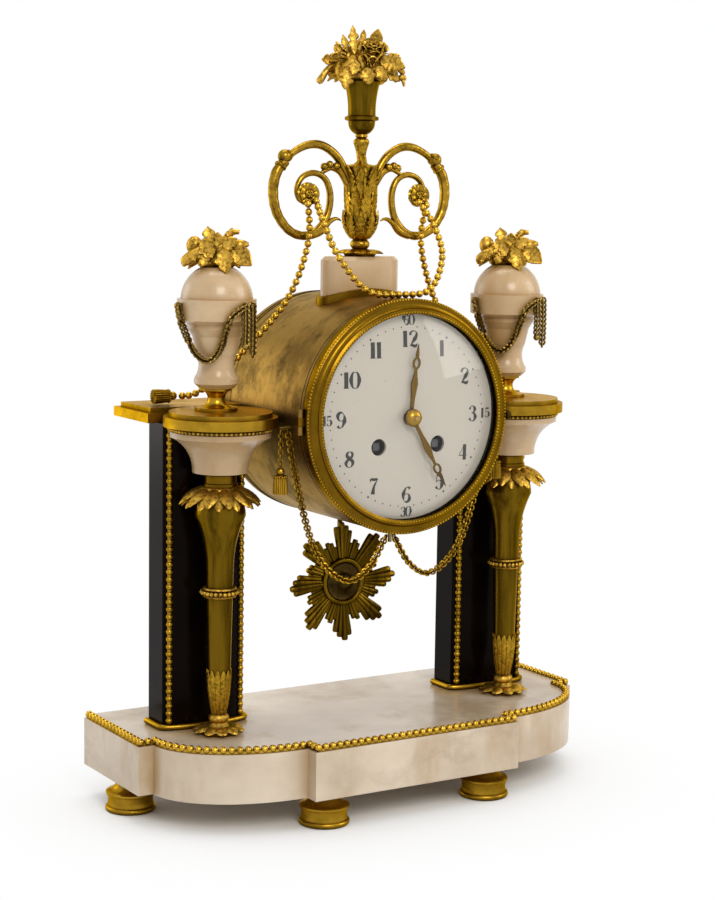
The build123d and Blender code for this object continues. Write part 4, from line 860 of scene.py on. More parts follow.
@dataclass
class Pillars(Ornament):
    """The gilt dress of the piers and of the quiver columns before them."""

    pier_half: float = 25.5
    shoulder: float = 13.4
    bulge: float = 5.0
    back: float = 30.4
    moulding: float = 1.75
    moulding_proud: float = 1.3
    moulding_steps: int = 24
    strip_turn: float = 30.0
    strip_proud: float = 0.5
    strip_pitch: float = 4.2
    strip_rod: float = 1.2
    strip_ends: Pair = (52.0, 217.3)
    bead: float = 1.95
    column_y: float = -6.4
    ring_z: float = 126.7
    collar_z: float = 185.4
    collar_leaves: int = 12
    back_turn: float = 90.0
    short_turn: float = 34.0
    short_share: float = 0.45
    capital_z: float = 216.4
    beads_back: float = 4.0
    sheath_leaves: int = 13

    def bowed(self, middle: float, turn: float, proud: float) -> Pair:
        """A point proud of a pier's bowed front, some degrees round the bow from its left end."""
        way = radians(turn)
        return middle - (self.pier_half + proud) * cos(way), self.shoulder - (self.bulge + proud) * sin(way)

    def pier_mounts(self) -> None:
        """Makes the foot mouldings and the bead strips of the piers."""
        shape = Shape()
        half = self.pier_half + self.moulding_proud
        turns = [180 * step / self.moulding_steps for step in range(self.moulding_steps + 1)]
        for side in SIDES:
            middle = side * PILLAR_X
            bowed = [self.bowed(middle, turn, self.moulding_proud) for turn in turns]
            line = [(middle - half, self.back), *bowed, (middle + half, self.back)]
            shape.bar([(x, y, SLAB_TOP + self.moulding) for x, y in line], self.moulding)
            for turn in (self.strip_turn, 180 - self.strip_turn):
                x, y = self.bowed(middle, turn, self.strip_proud)
                strip = [(x, y, z) for z in self.strip_ends]
                shape.balls(spots(strip, self.strip_pitch), self.bead)
                shape.bar(strip, self.strip_rod, sides=8)
        shape.piece("pier_gilding", self.finishes.plate_gilt, Slot.GILT, stands_for=["pier_mounts"])

    def column_foot(self, shape: Shape, x: float) -> None:
        """Adds the foot of a column with its ring of leaves.

        Args:
            shape: the piece it joins.
            x: the column's middle.
        """
        foot = about(x, self.column_y, SLAB_TOP)
        shape.lathe([(0, 0), (10.5, 0), (11.5, 1.2), ((7.0, 3.4), (4.4, 6.2)), ((5.7, 8.6), (4.2, 11.0)),
                     (0, 11.2)], foot)
        petal = leaf(9.4, 7.4, 84, 34, cup=0.6, lobes=3, belly=0.95, thick=1.0)
        shape.whorl(petal, foot @ about(0, 0, 3.0), 10, 4.9)

    def bead_ring(self, shape: Shape, x: float) -> None:
        """Adds the bead ring half way up a column, between two hoops.

        Args:
            shape: the piece it joins.
            x: the column's middle.
        """
        middle = about(x, self.column_y, self.ring_z)
        hoop = [(7.2, -0.8), (9.0, -0.8), (9.6, 0), (9.0, 0.8), (7.2, 0.8)]
        for up in (-1.9, 1.9):
            shape.lathe(hoop, middle @ about(0, 0, up), closed=True)
        shape.balls([middle @ Vector((*spot, 0)) for spot in circle(25, 9.9)], 1.3)

    def collar(self, shape: Shape, necks: Shape, x: float) -> None:
        """Adds the leaf collar of a column, short where the pier stands behind it, and the neck above.

        Args:
            shape: the piece that the collar joins.
            necks: the piece that the neck joins.
            x: the column's middle.
        """
        head = about(x, self.column_y, self.collar_z)
        for layer, reach in enumerate((15.4, 16.4)):
            for k in range(self.collar_leaves):
                turn = 360 * (k + 0.5 * layer) / self.collar_leaves
                clear = abs((turn - self.back_turn + 180) % 360 - 180) > self.short_turn
                long, away = (reach, 9.0) if clear else (reach * self.short_share, 8.0)
                shape.add(leaf(long, 8.0, 108 - 6 * layer, 42, cup=0.55, belly=0.98),
                          head @ about(0, 0, -1.4 + 0.9 * layer, turn) @ about(away, 0, 0))
        shape.lathe([(0, -4), (11.4, -4), ((11.8, -1.4), (10.4, 0.6)), (0, 0.8)], head)
        necks.lathe([(0, 0.4), (9.6, 0.4), (9.6, 2.2), (9.0, 2.6), (9.0, 6.8), (9.5, 7.2), (9.5, 8.3),
                     (0, 8.3)], head)

    def plate_beads(self, shape: Shape, x: float) -> None:
        """Adds the bead ring under a plate, open where the pier stands.

        Args:
            shape: the piece it joins.
            x: the column's middle.
        """
        top = about(x, self.column_y, self.capital_z)
        shape.lathe([(20, 0), (27.2, 0), (27.8, 1.4), (27.2, 2.8), (20, 2.8)], top, 64, closed=True)
        beads = [top @ Vector((*spot, 1.4)) for spot in circle(68, 27.9)]
        shape.balls([bead for bead in beads if bead.y < self.beads_back], 1.15)

    def column_mounts(self) -> None:
        """Makes the leafy feet, the bead rings, the leaf collars and the necks of the columns."""
        shape, necks = Shape(), Shape()
        for side in SIDES:
            x = side * PILLAR_X
            self.column_foot(shape, x)
            self.bead_ring(shape, x)
            self.collar(shape, necks, x)
            self.plate_beads(shape, x)
        shape.piece("column_gilding", self.finishes.flower_gilt, Slot.GILT, stands_for=["column_mounts"])
        necks.piece("column_necks", self.finishes.plain_gilt, Slot.GILT)

    def shafts(self) -> None:
        """Makes the quiver-shaped column shafts, slim at the foot."""
        shape = Shape()
        top = self.collar_z - SLAB_TOP
        profile = [
            (0, 11.2), (3.6, 11.2), ((5.3, 20.9), (6.45, 36.2)), (7.7, 93), ((10.0, 111), (14.3, 123)),
            ((13.7, 128), (9.8, top)), (0, top)]
        for side in SIDES:
            shape.lathe(profile, about(side * PILLAR_X, self.column_y, SLAB_TOP), 64)
        shape.piece("column_shafts", self.finishes.shaft_gilt, Slot.GILT, stands_for=["columns"])

    def sheaths(self) -> None:
        """Makes the leaf sheaths at the foot of the column shafts."""
        shape = Shape()
        low, high = 11.3, 32.4
        profile = [(3.3, low), (3.9, low), ((5.6, low + 9.6), (6.65, high)), (6.2, high)]
        part = turned(outline(profile), 156, True)
        for vert in part.verts:
            around = atan2(vert.co.y, vert.co.x)
            wave = abs(sin(self.sheath_leaves / 2 * around))
            proud = 0.34 * wave + 0.16 * abs(sin(self.sheath_leaves * 1.5 * around)) - 0.06
            reach = hypot(vert.co.x, vert.co.y)
            vert.co.xy *= (reach + proud) / reach
            if vert.co.z > high - 0.1:
                vert.co.z += 4.2 * wave
        shape.add(part, *(about(side * PILLAR_X, self.column_y, SLAB_TOP) for side in SIDES))
        shape.piece("column_sheaths", self.finishes.cast_gilt, Slot.GILT)

    def build(self) -> None:
        """Makes all gilt dress of the pillars."""
        for make in (self.pier_mounts, self.column_mounts, self.shafts, self.sheaths):
            make()


@dataclass
class Urns(Ornament):
    """The gilt fruit on the urns."""

    top: float = 305.5

    def fruit(self, shape: Shape, place: Matrix) -> None:
        """Adds the fruit of one bunch: round ones, an ear of corn, a horn and a nut.

        Args:
            shape: the piece it joins.
            place: the middle of the lid's top, x to the right as it is looked at.
        """
        def at(*spot: float) -> Vector:
            """A point of the bunch."""
            return place @ Vector(spot)

        shape.balls([at(-1, 1, 3.5), at(5, 4, 4.5), at(-6, 5, 4.5), at(1.5, -3.0, 6.0)], 6.0)
        shape.balls([at(-12.5, 3, 11.5)], 4.6, (1, 1, 1.15))
        shape.balls([at(7, 9, 7), at(-3, 11, 6)], 4.4)
        ear = spots([at(-5, -5, 8.5), at(-12, -5, 6.5), at(-19, -4.5, 1.8)], 1.0)
        shape.bar(ear, lambda share: 4.0 * (1 - share) ** 0.35 * (0.7 + 0.6 * share) + 0.3)
        for row, middle in enumerate(ear[1:14:2]):
            turns = [1.1 * k + row * 0.5 for k in range(6)]
            girth = 4.1 * (1 - row / 11)
            grains = [middle + girth * Vector((0.45 * cos(turn), sin(turn), cos(turn))) for turn in turns]
            shape.balls(grains, 1.5, sides=8)
        horn = [at(3, 0, 11), at(5.0, 0, 15.5), at(8, -0.5, 19.0), at(12, -1, 19.4)]
        shape.bar(spots(horn, 1.2), lambda share: 3.0 - 1.7 * share)
        shape.balls([spot + Vector((0.9 * sin(5 * k), 1.4 * cos(7 * k), 1.2))
                     for k, spot in enumerate(spots(horn[:3], 1.1))], 1.3, sides=8)
        nut = [at(6, -3, 9.5), at(11, -4, 12), at(17.5, -4, 13.0)]
        shape.bar(spots(nut, 0.9), lambda share: 0.5 + 2.9 * sin(pi * (0.12 + 0.82 * share)))
        shape.balls([at(2, -4, 8), at(-4, -4, 8), at(8, -2, 8), at(-8, -1, 7)], 5.0)

    def leaves(self, shape: Shape, place: Matrix) -> None:
        """Adds the leaves of one bunch, those at the back and then those that show.

        Args:
            shape: the piece they join.
            place: the middle of the lid's top, x to the right as it is looked at.
        """
        for turn, long, wide, start, bend, up in (
                (50, 15, 9, 95, 52, 6.5), (105, 15, 9.5, 98, 50, 6.0), (150, 16, 9, 96, 46, 6.0)):
            shape.add(leaf(long, wide, start, bend, cup=0.45, lobes=3),
                      place @ about(0, 0, up, turn) @ about(5, 0, 0))
        for spot, lean, size, lobes, bend in (
                ((8, -6.5, 11.5), 131, (15.5, 10.0), 0, 42), ((3.8, -9.5, 10.5), 172, (13.5, 10.5), 3, 34),
                ((-1.5, -9.0, 5.5), -35, (12, 11), 3, -30), ((-3.5, -2.5, 11), -8, (11.5, 9.5), 2, -12),
                ((4.0, -8.5, 10.5), 52, (9, 7.5), 2, 10), ((0.5, -9.5, 12.0), 5, (7, 7), 2, 30),
                ((-5.0, -9.5, 7.5), 200, (7, 6.0), 2, 30)):
            shape.show(place @ about(*spot), lean, size, lobes, bend, thick=0.9)

    def build(self) -> None:
        """Makes the fruit of both urns."""
        shape = Shape()
        for side in SIDES:
            place = about(side * PILLAR_X, URN_Y, self.top, VIEW_TURN)
            self.fruit(shape, place)
            self.leaves(shape, place)
        shape.piece("fruit_bunches", self.finishes.flower_gilt, Slot.GILT, stands_for=["urn_fruit"])


# The strokes of each digit: points (across, up, width) of their middle lines, in heights of the digit.
DIGITS: dict[str, list[list[Triple]]] = {
    "0": [[(0, .99, .04), (-.15, .93, .12), (-.25, .5, .19), (-.15, .07, .12), (0, .01, .04), (.15, .07, .12),
           (.25, .5, .19), (.15, .93, .12), (0, .99, .04)]],
    "1": [[(0, 0, .19), (0, 1, .19)], [(-.15, .88, .05), (0, .97, .05)],
          [(-.17, .015, .04), (.17, .015, .04)]],
    "2": [[(-.2, .72, .13), (-.2, .86, .08), (-.03, .98, .05), (.15, .93, .13), (.2, .74, .19),
           (.05, .45, .09), (-.23, .07, .04)],
          [(-.23, .07, .05), (-.05, .08, .12), (.12, .03, .13), (.25, .2, .04)]],
    "3": [[(-.2, .78, .12), (-.1, .95, .05), (.06, .97, .06), (.17, .78, .17), (.1, .6, .08),
           (-.06, .54, .04)],
          [(-.06, .54, .04), (.12, .5, .1), (.21, .27, .19), (.1, .04, .08), (-.08, .03, .05),
           (-.21, .2, .13)]],
    "4": [[(.1, 0, .17), (.1, 1, .17)], [(.06, .98, .04), (-.27, .3, .05)],
          [(-.28, .29, .05), (.28, .29, .05)]],
    "5": [[(-.16, .96, .05), (-.19, .5, .05)], [(-.17, .93, .12), (.19, .93, .1)],
          [(-.19, .5, .04), (0, .6, .05), (.17, .5, .13), (.2, .26, .19), (.1, .04, .08), (-.06, .02, .05),
           (-.21, .18, .13)]],
    "6": [[(.2, .84, .13), (.08, .97, .05), (-.1, .86, .09), (-.22, .45, .19), (-.14, .1, .12),
           (.02, .01, .04), (.16, .1, .1), (.2, .3, .17), (.1, .5, .09), (-.06, .52, .04), (-.2, .38, .04)]],
    "7": [[(-.22, .78, .04), (-.2, .95, .1), (0, .93, .13), (.23, .97, .06)],
          [(.23, .95, .05), (.02, .5, .1), (-.05, 0, .2)]],
    "8": [[(0, .99, .04), (-.14, .9, .11), (-.16, .72, .15), (0, .55, .15), (.17, .4, .14), (.2, .22, .15),
           (.1, .04, .08), (0, .01, .04), (-.12, .04, .08), (-.21, .22, .16), (-.16, .4, .12), (0, .55, .1),
           (.14, .68, .12), (.15, .88, .11), (0, .99, .04)]]}
DIGITS["9"] = [[(-across, 1 - up, width) for across, up, width in stroke] for stroke in DIGITS["6"]]


@dataclass
class Dial(Ornament):
    """Numbers and minute dots on the enamel, and the milled rings and the knob of the bezel."""

    rim: float = 60.2
    rim_front: float = -43.45
    dome: float = 2.6
    paint: float = 0.07
    hour_ring: float = 43.6
    hour_height: float = 8.9
    dot_ring: float = 50.3
    quarter_ring: float = 54.2
    quarter_height: float = 5.6
    stretch: float = 1.14
    weight: float = 1.5
    hairline: float = 0.07
    stroke_pitch: float = 0.045

    def spot(self, x: float, z: float) -> Triple:
        """A point on the domed face."""
        rise = self.dome * (1 - (x * x + z * z) / self.rim ** 2)
        return x, self.rim_front - rise - self.paint, DRUM_AXIS + z

    def stroke(self, ink: Shape, points: Sequence[Triple], foot: Pair, height: float) -> None:
        """Paints one stroke of a digit.

        Args:
            ink: the piece it joins.
            points: its points, as in DIGITS.
            foot: the middle of the digit's foot, from the dial's middle.
            height: the digit's height.
        """
        widths = [width for _, _, width in points]
        places = walk([(x, 0, z) for x, z, _ in points], self.stroke_pitch)
        last = len(places) - 1
        part = bmesh.new()
        bmesh.ops.create_grid(part, x_segments=1, y_segments=last, size=0.5)
        for vert in part.verts:
            index = round((vert.co.y + 0.5) * last)
            place, ahead = places[index]
            share = index / last * (len(widths) - 1)
            low = min(int(share), len(widths) - 2)
            width = widths[low] + (widths[low + 1] - widths[low]) * (share - low)
            reach = width * vert.co.x * (self.weight if width > self.hairline else 1.0)
            vert.co = self.spot(foot[0] + height * (place.x * self.stretch + ahead.z * reach),
                                foot[1] + height * (place.z - ahead.x * reach))
        ink.add(part)

    def number(self, ink: Shape, text: str, turn: float, ring: float, height: float) -> None:
        """Paints an upright number on a ring of the dial.

        Args:
            ink: the piece it joins.
            text: the number.
            turn: its place, clockwise from the top, in degrees.
            ring: the ring's radius.
            height: the digits' height.
        """
        pitch = {"11": 0.44}.get(text, 0.62) * height
        x = ring * sin(radians(turn)) - pitch * (len(text) - 1) / 2
        z = ring * cos(radians(turn)) - height / 2
        for index, digit in enumerate(text):
            for points in DIGITS[digit]:
                self.stroke(ink, points, (x + pitch * index, z), height)

    def dot(self, ink: Shape, x: float, z: float, radius: float, sides: int) -> None:
        """Paints a round dot on the face.

        Args:
            ink: the piece it joins.
            x: its place right of the dial's middle.
            z: its place above the dial's middle.
            radius: its radius.
            sides: how many sides it has.
        """
        part = bmesh.new()
        bmesh.ops.create_circle(part, cap_ends=True, segments=sides, radius=radius)
        ink.add(part, facing(*self.spot(x, z)))

    def face(self) -> None:
        """Paints the hours, the quarters, the minute dots and the regulating hole."""
        ink = Shape()
        for hour in range(1, 13):
            self.number(ink, str(hour), 30 * hour, self.hour_ring, self.hour_height)
        for turn, text, inward in ((0, "60", 0.0), (90, "15", 1.6), (180, "30", 0.8), (270, "45", 1.6)):
            self.number(ink, text, turn, self.quarter_ring - inward, self.quarter_height)
        for minute in (minute for minute in range(60) if minute % 15):
            turn = radians(6 * minute)
            radius = 0.42 if minute % 5 else 0.62
            self.dot(ink, self.dot_ring * sin(turn), self.dot_ring * cos(turn), radius, sides=10)
        self.dot(ink, -3.4, 55.2, 1.3, sides=16)
        ink.piece("dial_numbers", self.finishes.ink, Slot.ENAMEL)

    def bezel(self) -> None:
        """Makes the ring of painted shadow round the dial, and the bezel's milled rings and knob."""
        edge, milling, knob = Shape(), Shape(), Shape()
        # Painted shadow: a dark ring at the dial's rim, where the bezel's inner wall is in shade.
        edge.lathe([(57.5, 0.30), (57.7, 0.45), (60.0, 0.35), (60.0, 0.15)],
                   facing(0, self.rim_front, DRUM_AXIS), 120, closed=True)
        edge.piece("dial_edge_shadow", self.finishes.shadow_brass, Slot.OLD_BRASS)
        for radius, y, size, count in ((65.3, -46.15, 0.72, 216), (58.6, -49.75, 0.66, 204)):
            milling.balls([(x, y, DRUM_AXIS + z) for x, z in circle(count, radius)], size, sides=6)
        milling.piece("bezel_milling", self.finishes.gilt, Slot.GILT, Body.BEZEL)
        knob.lathe([(1.7, 0), (1.7, 1.9), (2.5, 2.2), (2.8, 3.6), (2.2, 5.0), (0, 5.4)],
                   about(64.2, -45.0, DRUM_AXIS - 1.8, tilt=90), 20)
        knob.piece("bezel_knob", self.finishes.hub_brass, Slot.OLD_BRASS, Body.BEZEL)

    def build(self) -> None:
        """Makes all that is on the dial and the bezel."""
        self.face()
        self.bezel()


@dataclass
class Crown(Ornament):
    """The vase, the bouquet and the scrolls on top."""

    y: float = 9.0
    foot: float = 310.8
    cup_rim: float = 409.3
    scroll_y: float = 8.5
    rosette_x: float = 37.0
    rosette_z: float = 345.8

    def vase(self) -> None:
        """Makes the vase with its leaf ring and acanthus relief."""
        shape = Shape()
        foot = about(0, self.y, self.foot)
        shape.lathe([
            (0, 0), (8.6, 0), (9.4, 1.4), ((7.0, 3.2), (4.2, 4.4)), ((5.6, 6.8), (4.0, 9.4)), (5.4, 10),
            ((7.4, 12.4), (8.2, 18)), (8.6, 30), ((9.0, 44), (10.2, 51)), (8.6, 51.6), (4.2, 52.4), (2.4, 54),
            ((3.2, 60), (4.5, 64)), ((4.2, 66), (2.8, 67)), (3.6, 67.8), (3.4, 69), (0, 69)], foot)
        shape.whorl(leaf(8.8, 8.6, 76, 42, cup=0.5, lobes=2, belly=0.9), foot @ about(0, 0, 2.4), 9, 4.6)
        for shift, long, low, away, start, bend in (
                (0.0, 17, 10.4, 4.7, 38, -42), (0.5, 22, 19.0, 7.75, 4, 3), (0.0, 18, 34.5, 8.25, 4, 26)):
            acanthus = leaf(long, 6.4, start, bend, cup=0.3, lobes=6, belly=0.9, thick=0.9)
            shape.whorl(acanthus, foot @ about(0, 0, low), 9, away, shift)
        spike = ((-0.5, -3, 56), (-2.6, -8.4, 50), (-3.2, -9.4, 42), (-3.0, -9.2, 33))
        shape.bar(spots([foot @ Vector(spot) for spot in spike], 2), lambda share: 1.9 - 1.5 * share)
        shape.piece("vase_relief", self.finishes.cast_gilt, Slot.GILT, stands_for=["finial_vase"])

    def bouquet(self) -> None:
        """Makes the bouquet of roses, blossoms, leaves, a bud and berries."""
        shape = Shape()
        place = about(0, self.y, self.cup_rim, VIEW_TURN)

        def at(*spot: float) -> Vector:
            """A point of the bouquet."""
            return place @ Vector(spot)

        def rose(spot: Triple, size: float, turn: float, tilt: float) -> None:
            """Adds a rose that faces along its own z.

            Args:
                spot: its middle.
                size: its size.
                turn: where it faces, in degrees round the bouquet.
                tilt: how far it tilts that way, in degrees.
            """
            head = place @ about(*spot, turn, tilt)
            shape.balls([head @ Vector((0, 0, -0.30 * size))], 0.52 * size, (1, 1, 0.9))
            rings = ((0.10, 4, 22, 0.42), (0.20, 6, 34, 0.52), (0.31, 12, 42, 0.60), (0.42, 20, 48, 0.68))
            for ring, (away, start, bend, long) in enumerate(rings):
                wide = 0.34 + 0.15 * ring
                petal = leaf(long * size, wide * size, start, bend, cup=0.45, thick=0.5, tip=0.6)
                low = head @ about(0, 0, -0.12 * size - 0.10 * size * ring)
                shape.whorl(petal, low, 5, away * size, 0.5 * ring)

        def bell(spot: Triple, turn: float, tilt: float, long: float, petals: int) -> None:
            """Adds a bell-shaped flower that opens along its own z.

            Args:
                spot: its root.
                turn: where it faces, in degrees round the bouquet.
                tilt: how far it tilts that way, in degrees.
                long: how long its petals are.
                petals: how many petals it has.
            """
            head = place @ about(*spot, turn, tilt)
            shape.whorl(leaf(long, 6.5, 6, 34, cup=0.5, lobes=2, thick=0.7, tip=0.8), head, petals, 2.0)
            shape.balls([head @ Vector((0, 0, 0.5))], 2.6)

        shape.balls([at(0, 0, 5), at(8, 2, 6), at(-8, 2, 6), at(0, 8, 8)], 8.0)
        rose((6.0, -6.5, 18.5), 9.5, -80, 40)
        rose((-3.5, 9, 14.0), 11.0, 95, 42)
        rose((13.5, 8, 10.0), 8.5, 40, 52)
        rose((-14, 9, 8.0), 8.0, 140, 56)
        bell((5.0, -7.5, 7.0), -85, 26, 10.5, 7)
        bell((-8.0, -6.5, 13.5), 182, 72, 10.0, 6)
        shape.balls([at(0, -4, 9), at(-6, -5, 9), at(6, -5, 8)], 6.0)
        for spot, lean, size, lobes, bend in (
                ((-4.5, -5, 15), -5, (16.5, 7.0), 4, -4), ((-8.0, -4, 14), -16, (12.5, 4.5), 2, 0),
                ((-1.0, -4, 16), 7, (13.0, 5.0), 3, 4), ((6.5, -2.5, 19), 12, (10.5, 7.0), 0, 26),
                ((10, -9.5, 12.5), 110, (15.0, 11.5), 5, 34), ((13, -6, 11), 62, (8.5, 5.5), 0, 30),
                ((2.5, -11.0, 7.5), 172, (9.5, 9.5), 3, 34), ((-8, -10, 8.0), 188, (13.0, 9.0), 4, 30),
                ((-14, -6, 12.5), -95, (9.0, 7.0), 2, 30), ((-3.0, -11.0, 11.0), 200, (8.0, 7.5), 3, 24),
                ((8.5, -10.5, 8.5), 150, (10.0, 7.5), 3, 34), ((14, -7, 6.0), 128, (9.0, 6.0), 3, 20)):
            shape.show(place @ about(*spot), lean, size, lobes, bend)
        for turn in (20, 60, 100, 140, 165):
            shape.add(leaf(15, 8.5, 78, 68, cup=0.45, lobes=4),
                      place @ about(0, 0, 5.5, turn) @ about(7, 0, 0))
        bud = [at(-17.5, -4, 9.0), at(-20.5, -4.6, 5.5), at(-23.0, -5.2, 1.5), at(-25.0, -5.6, -1.2)]
        shape.bar(spots(bud, 1.2), lambda share: 1.5 + 0.8 * share - 12 * max(0.0, share - 0.9))
        shape.balls([at(21, -5, 8.6), at(22.5, -6, 5.4), at(21.4, -8, 6.4), at(23.4, -5, 2.2),
                     at(22.2, -7.6, 2.6), at(19.4, -9, 9.4)], 1.75)
        tail = [at(21, -6, 3.5), at(23.0, -6.6, 0.5), at(23.6, -7, -2.5)]
        shape.bar(spots(tail, 1.0), lambda share: 1.5 - 0.8 * share)
        shape.piece("flower_bouquet", self.finishes.flower_gilt, Slot.GILT, stands_for=["bouquet"])

    def scroll(self, side: int) -> None:
        """Makes one scroll with its knot, buds, leaf tip and rosette.

        Args:
            side: -1 for the left one, 1 for the right one.
        """
        shape = Shape()
        y = self.scroll_y

        def line(points: Sequence[Pair], radius: Callable[[float], float]) -> None:
            """Adds a bar through points of the scroll's plane."""
            shape.bar(spots([(side * x, y, z) for x, z in points], 1.4), radius)

        line([(8.0, 346), (9.6, 356), (16, 366.5), (25, 372.6), (34, 373.4), (43, 370), (49, 365.4)],
             lambda share: 1.5 + 0.8 * sin(pi * share ** 0.8) + 0.4 * share)
        line([(50, 364), (55.5, 357.5), (57.6, 347), (55, 335), (47, 325.4), (37, 322.4), (28.5, 326),
              (22.4, 334), (20.6, 345), (23.8, 354), (31, 357.6), (38.6, 355.4), (42.4, 349), (41, 343),
              (37, 341.4)],
             lambda share: 2.95 - 1.5 * share + (0.22 * abs(sin(70 * share)) if share < 0.45 else 0.0))
        line([(33, 322.8), (26.5, 325), (21.5, 330), (16.5, 332.2), (13.2, 331.0)],
             lambda share: 2.5 - 2.1 * share ** 2)
        line([(9.5, 352), (14, 358.6), (20, 361), (25, 358.6), (28.5, 356.5)],
             lambda share: 1.9 + 0.8 * sin(pi * share) - 1.2 * share)
        shape.balls([(side * 50.4, y, 366.4)], 4.0)
        knot = about(side * 46.5, y, 368.5, tilt=side * 122)
        shape.whorl(leaf(7.5, 4.0, 22, -34, cup=0.3, belly=0.9, thick=0.7), knot, 6, 2.0)
        shape.lathe([(1.5, -0.9), (3.2, -0.9), ((3.7, 0), (3.2, 0.9)), (1.5, 0.9)],
                    about(side * 53.0, y, 361.2, tilt=side * 140), 20, closed=True)
        for k, (x, z) in enumerate(((17.5, 361.6), (21.5, 362.4), (24.6, 361.2), (14.8, 359.6))):
            shape.balls([(side * x, y - 1.4 + 0.7 * k, z)], 2.3)
        head = facing(side * self.rosette_x, y - 3.4, self.rosette_z)
        shape.lathe([(0, -3.4), (2.4, -3.4), (3.4, 0), ((2.4, 2.0), (0, 2.2))], head, 20)
        for ring, start in enumerate((46, 74)):
            petal = leaf(4.6, 3.9, start, 44, cup=0.5, thick=0.7, tip=0.62)
            shape.whorl(petal, head @ about(0, 0, 0.2 - ring), 9, 1.7, 0.5 * ring)
        shape.balls([head @ Vector((right, up, 2.2)) for right, up in circle(6, 1.6)], 0.8)
        name = "left" if side < 0 else "right"
        shape.piece(name + "_scrollwork", self.finishes.scroll_gilt, Slot.GILT, stands_for=[name + "_scroll"])

    def build(self) -> None:
        """Makes the whole crown."""
        self.vase()
        self.bouquet()
        for side in SIDES:
            self.scroll(side)


